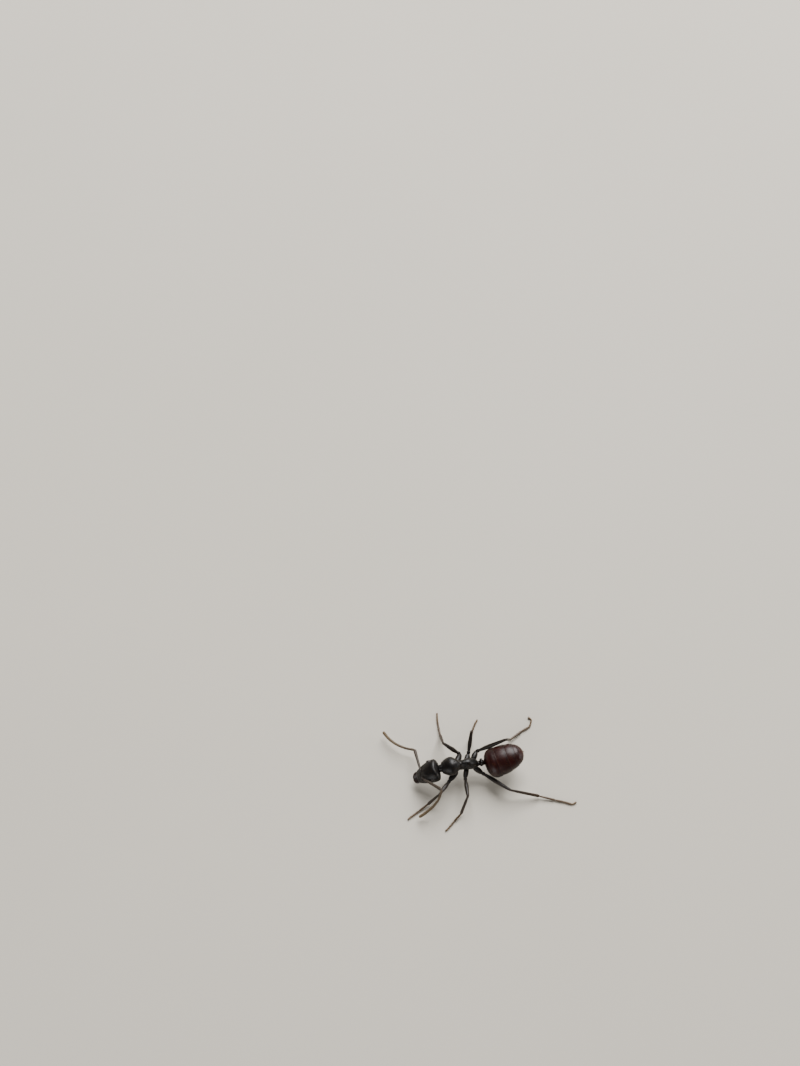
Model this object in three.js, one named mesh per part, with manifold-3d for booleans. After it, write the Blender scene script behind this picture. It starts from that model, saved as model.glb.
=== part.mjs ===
// A carpenter-like ant worker, life size, standing with all six feet on the floor.
// Millimetres, +Z up. The head points along -Y, the ant's left is +X and the floor is z = 0.
import * as THREE from "three";
import { mergeVertices } from "three/addons/utils/BufferGeometryUtils.js";
import Module from "manifold-3d";

const wasm = await Module();
wasm.setup();

// Driving dimensions
const gap = 0.04; // between neighbouring pieces
const limbSides = 8;
const limbThickness = 0.5; // across the flats, at the thinnest part of a leg or feeler
const limbRadius = limbThickness / 2 / Math.cos(Math.PI / limbSides);
const headLength = 2.75; // without the mandibles
const headHalfWidth = 1.25;
const trunkLength = 4.15;
const petioleLength = 0.63;
const gasterLength = 4.35;
const gasterHalfWidth = 1.65;
const gasterTop = 1.28; // above its middle line
const gasterBottom = 1.08;
const ankleHeight = 0.42;
const soleHeight = limbThickness / 2 - 0.005; // of the middle line of a foot that lies on the floor
const kneeFillet = 0.36;

// How the parts of the body stand to one another
const trunkStart = new THREE.Vector3(-0.05, -3.02, 0);
const neck = new THREE.Vector3(0, -3.1, 2.56);
const headPitch = 24;
const headYaw = 3.5;
const waist = new THREE.Vector3(0, trunkStart.y + trunkLength + gap, 2.12);
const gasterRoot = new THREE.Vector3(0.45, waist.y + petioleLength + gap, 1.93);
const gasterYaw = 9;
const gasterPitch = 12;

const degrees = THREE.MathUtils.degToRad;

const looks = {
  shell: { color: 0x0c0908, roughness: 0.35, metalness: 0 },
  gaster: { color: 0x240705, roughness: 0.28, metalness: 0 },
  eye: { color: 0x1d1815, roughness: 0.5, metalness: 0 },
  jaw: { color: 0x1c0c07, roughness: 0.4, metalness: 0 },
  leg: { color: 0x1b120b, roughness: 0.45, metalness: 0 },
  foot: { color: 0x45321d, roughness: 0.5, metalness: 0 },
  feeler: { color: 0x423322, roughness: 0.5, metalness: 0 },
};

function named(name, geometry, look) {
  const mesh = new THREE.Mesh(geometry, new THREE.MeshStandardMaterial(looks[look]));
  mesh.name = name;
  return mesh;
}

// The value at share s of a table of [share, value] rows, smooth through each row.
function along(rows, s) {
  const last = rows.length - 1;
  const i = Math.max(0, Math.min(last - 1, rows.findLastIndex((row) => row[0] <= s)));
  const slope = (k) => {
    const a = rows[Math.max(0, k - 1)];
    const b = rows[Math.min(last, k + 1)];
    return (b[1] - a[1]) / (b[0] - a[0]);
  };
  const span = rows[i + 1][0] - rows[i][0];
  const t = (s - rows[i][0]) / span;
  const rise = rows[i + 1][1] - rows[i][1];
  const bendStart = slope(i) * span - rise;
  const bendEnd = rise - slope(i + 1) * span;
  return rows[i][1] + rise * t + t * (1 - t) * (bendStart * (1 - t) + bendEnd * t);
}

// 0 at either end and 1 between, as quarter ellipses over the given shares of the length. A power
// above 2 makes the ends blunter.
function roundEnds(s, first, last, power = 2) {
  const start = Math.max(0, 1 - s / first);
  const end = Math.max(0, 1 - (1 - s) / last);
  return (Math.max(0, 1 - start ** power) * Math.max(0, 1 - end ** power)) ** (1 / power);
}

// 1 up to the last share of the length, then falling like a blunt nose.
function roundTip(t, last) {
  const end = Math.max(0, 1 - (1 - t) / last);
  return 0.35 + 0.65 * Math.sqrt(1 - end * end);
}

// A closed body along +Y. section(s) gives its half width, top and bottom at share s of the length.
// Only the stretch between the shares from and to is made, with flat ends where it isn't pointed.
function loft(length, section, { from = 0, to = 1, rings = 12, sides = 20, grow = 0 } = {}) {
  const profile = [new THREE.Vector2(0, from)];
  for (let i = 0; i <= rings; i++) {
    const s = from + ((to - from) * (1 - Math.cos((Math.PI * i) / rings))) / 2;
    if (section(s).width > 1e-3) profile.push(new THREE.Vector2(1, s));
  }
  profile.push(new THREE.Vector2(0, to));
  const geometry = new THREE.LatheGeometry(profile, sides);
  const place = geometry.getAttribute("position");
  for (let i = 0; i < place.count; i++) {
    const s = place.getY(i);
    const { width, top, bottom } = section(s);
    const middle = (top + bottom) / 2;
    const x = place.getX(i) * (width + grow);
    const z = middle + place.getZ(i) * ((top - bottom) / 2 + grow);
    place.setXYZ(i, x, s * length, z);
  }
  return geometry;
}

// The point and direction at a distance along a path.
function onPath(path, distance) {
  let left = Math.max(0, distance);
  const lengths = path.curves.map((curve) => curve.getLength());
  let i = 0;
  while (i < lengths.length - 1 && left > lengths[i]) left -= lengths[i++];
  const u = Math.min(1, left / lengths[i]);
  return { at: path.curves[i].getPointAt(u), ahead: path.curves[i].getTangentAt(u) };
}

// A closed tube bent onto a path: radius(t) at each share t of its own length, which runs between two
// distances along the path. A side of the tube faces down, and nothing reaches below floor. The rings
// of a free end close up towards its tip.
function limb(path, start, end, radius, { rings, free = false, floor = -Infinity }) {
  const profile = [new THREE.Vector2(0, 0)];
  for (let i = 0; i <= rings; i++) profile.push(new THREE.Vector2(1, i));
  profile.push(new THREE.Vector2(0, rings));
  const geometry = new THREE.LatheGeometry(profile, limbSides, Math.PI / limbSides);
  const share = (i) => (free ? Math.sin((Math.PI * i) / rings / 2) : i / rings);

  const up = new THREE.Vector3(0, 0, 1);
  let { ahead } = onPath(path, start);
  up.addScaledVector(ahead, -up.dot(ahead)).normalize();
  const frames = [];
  for (let i = 0; i <= rings; i++) {
    const next = onPath(path, start + (end - start) * share(i));
    up.applyQuaternion(new THREE.Quaternion().setFromUnitVectors(ahead, next.ahead));
    ahead = next.ahead;
    frames.push({ at: next.at, up: up.clone(), side: ahead.clone().cross(up), r: radius(share(i)) });
  }

  const place = geometry.getAttribute("position");
  const point = new THREE.Vector3();
  for (let i = 0; i < place.count; i++) {
    const frame = frames[Math.round(place.getY(i))];
    point.copy(frame.at);
    point.addScaledVector(frame.up, place.getZ(i) * frame.r);
    point.addScaledVector(frame.side, place.getX(i) * frame.r);
    place.setXYZ(i, point.x, point.y, Math.max(point.z, floor));
  }
  return geometry;
}

// Straight lines between corners, each corner rounded, with the distance along the path to its middle.
function roundedPath(corners, fillet) {
  const path = new THREE.CurvePath();
  const joints = [];
  let from = corners[0];
  let travelled = 0;
  for (let i = 1; i < corners.length - 1; i++) {
    const reach = Math.min(fillet, corners[i].distanceTo(corners[i + 1]) / 2.2);
    const before = corners[i - 1].clone().sub(corners[i]).setLength(reach).add(corners[i]);
    const after = corners[i + 1].clone().sub(corners[i]).setLength(reach).add(corners[i]);
    const bend = new THREE.QuadraticBezierCurve3(before, corners[i], after);
    path.add(new THREE.LineCurve3(from, before));
    path.add(bend);
    travelled += from.distanceTo(before);
    joints.push(travelled + bend.getLength() / 2);
    travelled += bend.getLength();
    from = after;
  }
  path.add(new THREE.LineCurve3(from, corners.at(-1)));
  joints.push(travelled + from.distanceTo(corners.at(-1)));
  return { path, joints };
}

// The next corner: a step of a given length that ends at a given height. A heading of 0 is straight out
// to the side, 90 is straight back and -90 straight ahead.
function stepFrom(start, length, side, heading, height) {
  const rise = height - start.z;
  const level = Math.sqrt(length * length - rise * rise);
  const angle = degrees(heading);
  const x = start.x + side * level * Math.cos(angle);
  return new THREE.Vector3(x, start.y + level * Math.sin(angle), height);
}

// Solids for the cuts, each in the frame of the object that holds its mesh.
function solid(geometry) {
  const bare = geometry.clone();
  bare.deleteAttribute("normal");
  bare.deleteAttribute("uv");
  const merged = mergeVertices(bare, 1e-4);
  const vertProperties = new Float32Array(merged.getAttribute("position").array);
  const triVerts = new Uint32Array(merged.index.array);
  return new wasm.Manifold(new wasm.Mesh({ numProp: 3, vertProperties, triVerts }));
}

function cut(geometry, ...tools) {
  const left = tools.reduce((rest, tool) => rest.subtract(solid(tool)), solid(geometry));
  const { vertProperties, triVerts } = left.getMesh();
  const result = new THREE.BufferGeometry();
  result.setAttribute("position", new THREE.BufferAttribute(vertProperties, 3));
  result.setIndex(new THREE.BufferAttribute(triVerts, 1));
  return result;
}

// The head capsule, from the front edge of the clypeus (s = 0) to the hind corners (s = 1).
const headWidths = [[0, 0.52], [0.2, 0.72], [0.45, 0.9], [0.72, 1], [0.88, 0.97], [1, 0.84]];
const headTops = [[0, 0.12], [0.2, 0.42], [0.45, 0.72], [0.7, 0.84], [0.9, 0.76], [1, 0.62]];
const headBottoms = [[0, -0.34], [0.25, -0.6], [0.6, -0.8], [0.85, -0.74], [1, -0.56]];

function headSection(s) {
  const ends = roundEnds(s, 0.05, 0.16);
  const middle = (along(headTops, s) + along(headBottoms, s)) / 2;
  const half = ((along(headTops, s) - along(headBottoms, s)) / 2) * ends;
  const width = headHalfWidth * along(headWidths, s) * ends;
  return { width, top: middle + half, bottom: middle - half };
}

function headShell(grow) {
  return loft(headLength, headSection, { rings: 14, sides: 24, grow }).translate(0, -headLength, 0);
}

const eyeCentre = new THREE.Vector3(1.06, -0.95, 0.34);
const eyeHalf = new THREE.Vector3(0.16, 0.28, 0.23);

function eyeBall(side, grow) {
  const ball = new THREE.SphereGeometry(1, 12, 8);
  ball.rotateX(Math.PI / 2);
  ball.scale(eyeHalf.x + grow, eyeHalf.y + grow, eyeHalf.z + grow);
  ball.rotateZ(side * degrees(12));
  ball.translate(side * eyeCentre.x, eyeCentre.y, eyeCentre.z);
  return ball;
}

// A mandible is a bent blade: a smooth outer edge, and five teeth on the edge that meets its fellow.
const jawBase = 0.62;
const jawReach = 0.56;
const jawThickness = 0.34;
const toothCount = 5;

function mandible(side) {
  const blade = new THREE.Shape();
  blade.moveTo(side * 0.1, 0.3);
  blade.lineTo(side * jawBase, 0.3);
  blade.quadraticCurveTo(side * jawBase * 1.12, -jawReach * 0.55, side * 0.07, -jawReach);
  const pitch = (jawReach * 0.72) / toothCount;
  for (let i = 0; i < toothCount; i++) {
    const y = -jawReach + pitch * (i + 1);
    blade.lineTo(side * 0.14, y - pitch * 0.35);
    blade.lineTo(side * (0.07 + 0.004 * i), y);
  }
  const geometry = new THREE.ExtrudeGeometry(blade, {
    depth: jawThickness - 0.1,
    bevelSize: 0.045,
    bevelThickness: 0.05,
    bevelSegments: 1,
    curveSegments: 8,
  });
  return geometry.rotateX(degrees(8)).translate(0, -headLength - 0.04, -0.38);
}

const head = new THREE.Group();
head.position.copy(neck);
head.rotation.set(degrees(headPitch), 0, degrees(headYaw), "ZXY");
head.add(named("head", cut(headShell(0), eyeBall(1, gap), eyeBall(-1, gap)), "shell"));
for (const [name, side] of [["left", 1], ["right", -1]]) {
  head.add(named(`eye_${name}`, eyeBall(side, 0), "eye"));
  head.add(named(`mandible_${name}`, cut(mandible(side), headShell(gap)), "jaw"));
}
head.updateMatrixWorld(true);

// The trunk, from the neck (s = 0) to the waist (s = 1), parted into its three plates: a domed
// pronotum, a narrow mesothorax with the groove behind it, and the boxy propodeum.
const trunkWidths = [
  [0, 0.46], [0.09, 0.76], [0.22, 1], [0.34, 0.96], [0.48, 0.5], [0.58, 0.5], [0.75, 0.62],
  [0.9, 0.52], [1, 0.36],
];
const trunkTops = [
  [0, 2.86], [0.1, 3.16], [0.27, 3.42], [0.4, 3.32], [0.52, 3.05], [0.62, 3.14], [0.76, 3.12],
  [0.9, 2.76], [1, 2.42],
];
const trunkBottoms = [[0, 2.2], [0.14, 1.88], [0.35, 1.74], [0.55, 1.7], [0.8, 1.7], [1, 1.84]];
const trunkCuts = { pronotum: [0, 0.44], mesothorax: [0.44, 0.66], propodeum: [0.66, 1] };

function trunkSection(s) {
  const ends = roundEnds(s, 0.05, 0.06);
  const middle = (along(trunkTops, s) + along(trunkBottoms, s)) / 2;
  const half = ((along(trunkTops, s) - along(trunkBottoms, s)) / 2) * ends;
  return { width: along(trunkWidths, s) * ends, top: middle + half, bottom: middle - half };
}

const trunk = new THREE.Group();
trunk.position.copy(trunkStart);
for (const [name, [from, to]] of Object.entries(trunkCuts)) {
  const inset = gap / 2 / trunkLength;
  const stretch = { from: from && from + inset, to: to === 1 ? 1 : to - inset, rings: 8, sides: 20 };
  trunk.add(named(name, loft(trunkLength, trunkSection, stretch), "shell"));
}

// The waist is one upright scale on a short stalk.
function petioleSection(s) {
  const ends = roundEnds(s, 0.12, 0.12);
  const scale = Math.exp(-(((s - 0.45) / 0.28) ** 4));
  return { width: (0.27 + 0.15 * scale) * ends, top: (0.2 + 0.52 * scale) * ends, bottom: -0.26 * ends };
}

const petiole = named("petiole", loft(petioleLength, petioleSection, { rings: 12, sides: 14 }), "shell");
petiole.position.copy(waist);

// The gaster, blunt in front and drawn out behind, parted into five overlapping plates.
const gasterCuts = [0, 0.33, 0.6, 0.8, 0.93, 1];
const rimStep = 0.03;

function gasterPlate(from, to) {
  return (s) => {
    const belly = roundEnds(s, 0.26, 0.74, 2.3);
    const rim = 1 - rimStep * (to - s) / (to - from);
    const half = belly * (to < 1 ? rim : 1 - rimStep);
    return { width: gasterHalfWidth * half, top: gasterTop * half, bottom: -gasterBottom * half };
  };
}

const gaster = new THREE.Group();
gaster.position.copy(gasterRoot);
gaster.rotation.set(degrees(gasterPitch), 0, degrees(gasterYaw), "ZXY");
for (let i = 0; i + 1 < gasterCuts.length; i++) {
  const [from, to] = [gasterCuts[i], gasterCuts[i + 1]];
  const inset = gap / 2 / gasterLength;
  const stretch = { from: from && from + inset, to: to === 1 ? 1 : to - inset, rings: i ? 4 : 8, sides: 24 };
  gaster.add(named(`gaster_${i + 1}`, loft(gasterLength, gasterPlate(from, to), stretch), "gaster"));
}

// Leg lengths and hips of the three pairs, for the left side.
const pairs = {
  front: { hip: [0.35, -1.25, 2], coxa: 1.38, femur: 2.25, tibia: 2.5, tarsus: 2.86 },
  middle: { hip: [0.3, -0.2, 2], coxa: 1.1, femur: 2.55, tibia: 2.5, tarsus: 2.58 },
  hind: { hip: [0.32, 0.55, 2], coxa: 1.2, femur: 3.65, tibia: 3.43, tarsus: 4.28 },
};

// How each leg stands: the headings of its parts, and how high its coxa and its femur (the knee) end.
const stance = [
  { pair: "front", side: 1, coxa: [-47, 1.72], femur: [-42, 2.56], tibia: -80, tarsus: [-64, -64, -64, -57] },
  { pair: "front", side: -1, coxa: [32, 1.55], femur: [-52, 2.36], tibia: 1, tarsus: [0, 2, 7, 12] },
  { pair: "middle", side: 1, coxa: [-20, 1.4], femur: [-5, 2.4], tibia: -37, tarsus: [-54, -50, -50, -66] },
  { pair: "middle", side: -1, coxa: [27, 1.75], femur: [19, 2.92], tibia: 9, tarsus: [23, 30, 36, 45] },
  { pair: "hind", side: 1, coxa: [54, 1.35], femur: [46, 1.65], tibia: 75, tarsus: [68, 68, 63, 112] },
  { pair: "hind", side: -1, coxa: [31, 1.95], femur: [86, 3.62], tibia: 42, tarsus: [61, 70, 27, -45] },
];

// The middle line of a foot: a long first piece, then three shorter ones, flat on the floor.
const footShares = [0.42, 0.24, 0.2, 0.14];

const trunkHull = loft(trunkLength, trunkSection, { rings: 20, sides: 20, grow: gap });

function leg({ pair, side, coxa, femur, tibia, tarsus }) {
  const size = pairs[pair];
  const hip = new THREE.Vector3(trunkStart.x + side * size.hip[0], size.hip[1], size.hip[2]);
  const corners = [hip, stepFrom(hip, size.coxa, side, ...coxa)];
  corners.push(stepFrom(corners.at(-1), size.femur, side, ...femur));
  corners.push(stepFrom(corners.at(-1), size.tibia, side, tibia, ankleHeight));
  tarsus.forEach((heading, i) => {
    corners.push(stepFrom(corners.at(-1), size.tarsus * footShares[i], side, heading, soleHeight));
  });

  const group = new THREE.Group();
  group.position.copy(hip);
  const where = `${pair}_${side > 0 ? "left" : "right"}`;
  const { path, joints } = roundedPath(corners.map((corner) => corner.clone().sub(hip)), kneeFillet);
  const thigh = (t) => limbRadius + 0.05 * Math.sin(Math.PI * Math.min(1, t * 1.4)) ** 2;
  const shin = (t) => limbRadius + 0.012 * t;
  const foot = (t) => limbRadius * roundTip(t, 0.07);
  const root = (t) => 0.36 - 0.08 * t;
  const hull = trunkHull.clone().translate(trunkStart.x - hip.x, trunkStart.y - hip.y, -hip.z);
  const hipPiece = limb(path, 0, joints[0] - gap / 2, root, { rings: 5 });
  group.add(named(`coxa_${where}`, cut(hipPiece, hull), "leg"));
  const floor = -hip.z;
  const pieces = [
    ["femur", joints[0], joints[1], thigh, { rings: 9 }],
    ["tibia", joints[1], joints[2], shin, { rings: 8 }],
    ["tarsus", joints[2], joints.at(-1) + gap / 2, foot, { rings: 11, free: true, floor }],
  ];
  for (const [name, start, end, radius, options] of pieces) {
    const shape = limb(path, start + gap / 2, end - gap / 2, radius, options);
    group.add(named(`${name}_${where}`, shape, name === "tarsus" ? "foot" : "leg"));
  }
  return group;
}

// Feelers: a long straight scape from the face to the elbow, then the bent funiculus.
const scapeLength = 2.75;
const funiculusLength = 4.3;
const socket = new THREE.Vector3(0.5, -2.05, 0.42);
const reach = [
  { side: 1, scape: 42, elbow: 3.15, bends: [-28, -54, -68, -76], tip: 0.6 },
  { side: -1, scape: -3, elbow: 1.2, bends: [-68, -55, -41, -26], tip: 0.9 },
];

function feeler({ side, scape, elbow, bends, tip }) {
  const root = head.localToWorld(new THREE.Vector3(side * socket.x, socket.y, socket.z));
  const corners = [root, stepFrom(root, scapeLength, side, scape, elbow)];
  bends.forEach((heading, i) => {
    const height = elbow + ((tip - elbow) * (i + 1)) / bends.length;
    corners.push(stepFrom(corners.at(-1), funiculusLength / bends.length, side, heading, height));
  });
  const { path, joints } = roundedPath(corners.map((corner) => corner.clone().sub(root)), 0.4);
  const group = new THREE.Group();
  group.position.copy(root);
  const where = side > 0 ? "left" : "right";
  const hull = headShell(gap).applyMatrix4(head.matrixWorld).translate(-root.x, -root.y, -root.z);
  const shaft = limb(path, 0, joints[0] - gap / 2, () => limbRadius, { rings: 6 });
  group.add(named(`scape_${where}`, cut(shaft, hull), "feeler"));
  const lash = (t) => (limbRadius + 0.02 * t) * roundTip(t, 0.08);
  const shape = limb(path, joints[0] + gap / 2, joints.at(-1), lash, { rings: 13, free: true });
  group.add(named(`funiculus_${where}`, shape, "feeler"));
  return group;
}

const ant = new THREE.Group();
ant.add(head, trunk, petiole, gaster, ...stance.map(leg), ...reach.map(feeler));

// The origin is on the floor, under the middle of the whole animal.
const box = new THREE.Box3().setFromObject(ant);
const middle = box.getCenter(new THREE.Vector3());
ant.position.set(-middle.x, -middle.y, -box.min.z);

export default ant;
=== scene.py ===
import bpy
import numpy as np
from mathutils import Matrix, Vector


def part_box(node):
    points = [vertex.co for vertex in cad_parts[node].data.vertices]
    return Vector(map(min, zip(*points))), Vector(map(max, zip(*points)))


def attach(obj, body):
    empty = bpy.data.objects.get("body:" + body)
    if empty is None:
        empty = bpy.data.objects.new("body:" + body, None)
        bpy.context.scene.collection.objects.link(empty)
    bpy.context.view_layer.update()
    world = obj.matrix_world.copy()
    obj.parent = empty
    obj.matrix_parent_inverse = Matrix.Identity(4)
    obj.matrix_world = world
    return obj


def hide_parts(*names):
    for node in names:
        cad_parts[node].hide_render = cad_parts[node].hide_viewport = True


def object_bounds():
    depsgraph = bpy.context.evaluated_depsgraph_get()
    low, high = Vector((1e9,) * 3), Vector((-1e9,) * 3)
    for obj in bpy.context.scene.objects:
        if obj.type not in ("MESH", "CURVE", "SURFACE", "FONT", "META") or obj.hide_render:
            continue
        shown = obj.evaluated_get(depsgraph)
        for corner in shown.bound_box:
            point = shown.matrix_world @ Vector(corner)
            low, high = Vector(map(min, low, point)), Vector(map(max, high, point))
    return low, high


# A life-size ant worker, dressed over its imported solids. Shapes are worked out in millimetres, in the
# same frame as the solids, and each piece is put into its mesh in metres.
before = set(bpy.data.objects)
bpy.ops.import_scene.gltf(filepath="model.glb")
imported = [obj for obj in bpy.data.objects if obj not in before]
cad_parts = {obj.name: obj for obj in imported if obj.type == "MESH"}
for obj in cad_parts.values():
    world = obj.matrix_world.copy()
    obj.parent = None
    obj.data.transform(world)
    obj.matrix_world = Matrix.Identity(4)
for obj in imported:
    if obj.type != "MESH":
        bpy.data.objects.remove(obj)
cadBounds = [list(corner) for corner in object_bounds()]

millimetre = 0.001  # in metres
upward = np.array([0.0, 0.0, 1.0])

# How the parts of the body stand to one another, as in the solids.
body = {
    "trunkStart": (-0.05, -3.02, 0.0),
    "trunkLength": 4.15,
    "neck": (0.0, -3.1, 2.56),
    "headPitch": 24,
    "headYaw": 3.5,
    "waist": (0.0, 1.17, 2.12),
    "gasterRoot": (0.45, 1.84, 1.93),
    "gasterPitch": 12,
    "gasterYaw": 9,
}

# The solids are moved so that the whole animal stands over the origin: the pronotum's box gives the move.
pronotumLow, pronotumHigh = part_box("pronotum")
offset = np.array([
    (pronotumLow.x + pronotumHigh.x) / 2 / millimetre - body["trunkStart"][0],
    pronotumLow.y / millimetre - body["trunkStart"][1],
    cadBounds[0][2] / millimetre,
])


def unit(vectors):
    # each vector divided by its own length
    return vectors / np.maximum(np.linalg.norm(vectors, axis=-1, keepdims=True), 1e-12)


def along(rows, share):
    # a cubic through the [share, value] rows, whose slope at a row is that of its neighbours' chord
    places, values = np.array(rows, float).T
    last = len(places) - 1
    order = np.arange(last + 1)
    before, after = np.maximum(order - 1, 0), np.minimum(order + 1, last)
    slopes = (values[after] - values[before]) / (places[after] - places[before])
    i = np.clip(np.searchsorted(places, share, side="right") - 1, 0, last - 1)
    span = places[i + 1] - places[i]
    rise = values[i + 1] - values[i]
    t = (share - places[i]) / span
    bendStart = slopes[i] * span - rise
    bendEnd = rise - slopes[i + 1] * span
    return values[i] + rise * t + t * (1 - t) * (bendStart * (1 - t) + bendEnd * t)


def roundEnds(share, first, last, power=2.0):
    # 0 at either end and 1 between, as quarter ellipses over the first and last shares. A higher power
    # makes the ends blunter.
    start = np.clip(1 - share / first, 0, 1)
    end = np.clip(1 - (1 - share) / last, 0, 1)
    return ((1 - start ** power) * (1 - end ** power)) ** (1 / power)


def hump(distance, width):
    # 1 at no distance, falling as exp(-(distance / width) squared)
    return np.exp(-(distance / width) ** 2)


def form(value, shape):
    # a ridge, or a groove where its height is below 0: a hump of [where, height, width]
    where, height, width = shape
    return height * hump(value - where, width)


def ramp(value, start, end):
    # 0 before start and 1 after end, as 3 t squared - 2 t cubed between
    t = np.clip((value - start) / (end - start), 0, 1)
    return t * t * (3 - 2 * t)


def easedShares(count):
    # shares from just above 0 to just below 1, closer together towards both ends, as (1 - cos) / 2
    inset = 0.05
    return (1 - np.cos(np.linspace(inset, np.pi - inset, count))) / 2


def turnedCircle(count):
    # even angles round a circle, from 0 to just before a whole turn
    return np.arange(count) * 2 * np.pi / count


def sharesAndTurns(rows, columns):
    # eased shares down the rows and turns round the columns, ready to be spread over a grid
    return easedShares(rows)[:, None], turnedCircle(columns)[None, :]


def pointGrid(x, y, z):
    # three coordinates, each spread over the whole grid, as one array of points
    return np.stack(np.broadcast_arrays(x, y, z), axis=-1)


def gridNormals(points):
    # the cross product of the steps down the rows and round the columns
    downRows = np.gradient(points, axis=0)
    roundColumns = np.roll(points, -1, axis=1) - np.roll(points, 1, axis=1)
    return unit(np.cross(downRows, roundColumns))


def raised(points, height):
    # every point moved out along its normal by its height
    return points + gridNormals(points) * height[..., None]


def mirrored(points, values):
    # the other side's copy: x changes sign, and the columns run the other way so that faces stay outward
    return points[:, ::-1] * np.array([-1.0, 1.0, 1.0]), values[:, ::-1]


def placed(points, pitch, yaw, place=(0, 0, 0)):
    # turned by the pitch about x, then by the yaw about z, and moved to its place
    turn = Matrix.Rotation(np.radians(yaw), 3, "Z") @ Matrix.Rotation(np.radians(pitch), 3, "X")
    return points @ np.array(turn).T + np.array(place)


def closedShape(points, pale=0.0, dark=0.0):
    # a grid of rows round a tube, with a pole at the middle of the first and of the last row
    rows, columns = points.shape[:2]
    index = np.arange(rows * columns).reshape(rows, columns)
    right = np.roll(index, -1, axis=1)
    quads = np.stack([index[:-1], index[1:], right[1:], right[:-1]], axis=-1).reshape(-1, 4)
    startPole = np.full(columns, rows * columns)
    startFan = np.stack([startPole, index[0], right[0]], axis=-1)
    endFan = np.stack([startPole + 1, right[-1], index[-1]], axis=-1)
    poles = np.stack([points[0].mean(axis=0), points[-1].mean(axis=0)])

    def spread(values):
        grid = np.broadcast_to(np.asarray(values, float), (rows, columns))
        return np.concatenate([grid.ravel(), [grid[0].mean(), grid[-1].mean()]])

    return {
        "points": np.concatenate([points.reshape(-1, 3), poles]),
        "quads": quads,
        "triangles": np.concatenate([startFan, endFan]),
        "pale": spread(pale),
        "dark": spread(dark),
    }


def joined(shapes):
    # the shapes as one, each one's faces counted on from the points before it
    starts = np.cumsum([0] + [len(shape["points"]) for shape in shapes])
    whole = {key: np.concatenate([shape[key] for shape in shapes]) for key in shapes[0]}
    for key in ("quads", "triangles"):
        whole[key] = np.concatenate([shape[key] + start for shape, start in zip(shapes, starts)])
    return whole


def newObject(name, data):
    # an object that holds the data, linked into the scene
    made = bpy.data.objects.new(name, data)
    bpy.context.scene.collection.objects.link(made)
    return made


def addPiece(name, shape, material, slot, *nodes):
    # puts the shape into a mesh in metres, hangs it on the root, and hides the parts of the solids that it
    # stands for
    mesh = bpy.data.meshes.new(name)
    quads, triangles = shape["quads"], shape["triangles"]
    corners = np.concatenate([quads.ravel(), triangles.ravel()]).astype(np.int32)
    starts = np.concatenate([np.arange(len(quads)) * 4, len(quads) * 4 + np.arange(len(triangles)) * 3])
    mesh.vertices.add(len(shape["points"]))
    mesh.vertices.foreach_set("co", ((shape["points"] + offset) * millimetre).astype(np.float32).ravel())
    mesh.loops.add(len(corners))
    mesh.loops.foreach_set("vertex_index", corners)
    mesh.polygons.add(len(starts))
    mesh.polygons.foreach_set("loop_start", starts.astype(np.int32))
    mesh.polygons.foreach_set("use_smooth", np.ones(len(starts), bool))
    mesh.update(calc_edges=True)
    for key in ("pale", "dark"):
        mesh.attributes.new(key, "FLOAT", "POINT").data.foreach_set("value", shape[key].astype(np.float32))
    if "unwrap" in shape:
        unwrap = mesh.uv_layers.new(name="OFBake")
        unwrap.data.foreach_set("uv", shape["unwrap"][corners].astype(np.float32).ravel())
    mesh.materials.append(material)
    piece = newObject(name, mesh)
    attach(piece, "root")
    if nodes:
        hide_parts(*nodes)
    return piece


def linearColour(code):
    # sRGB hex to linear: c / 12.92 up to 0.04045, and ((c + 0.055) / 1.055) to the power 2.4 above it
    channels = np.array([int(code[i:i + 2], 16) for i in (1, 3, 5)]) / 255
    linear = np.where(channels <= 0.04045, channels / 12.92, ((channels + 0.055) / 1.055) ** 2.4)
    return (*linear.tolist(), 1.0)


def addNode(tree, kind, settings=None, inputs=None):
    # a node with its settings, and each input either linked to another node's output or set to a value
    made = tree.nodes.new("ShaderNode" + kind)
    for name, value in (settings or {}).items():
        setattr(made, name, value)
    for socket, value in (inputs or {}).items():
        if isinstance(value, bpy.types.NodeSocket):
            tree.links.new(value, made.inputs[socket])
        else:
            made.inputs[socket].default_value = value
    return made


def newMaterial(name):
    # a material with an empty node tree
    material = bpy.data.materials.new(name)
    material.use_nodes = True
    tree = material.node_tree
    tree.nodes.clear()
    return material, tree


def perMetre(size):
    # a texture's scale for a pattern of this size in millimetres
    return 1 / (size * millimetre)


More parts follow.
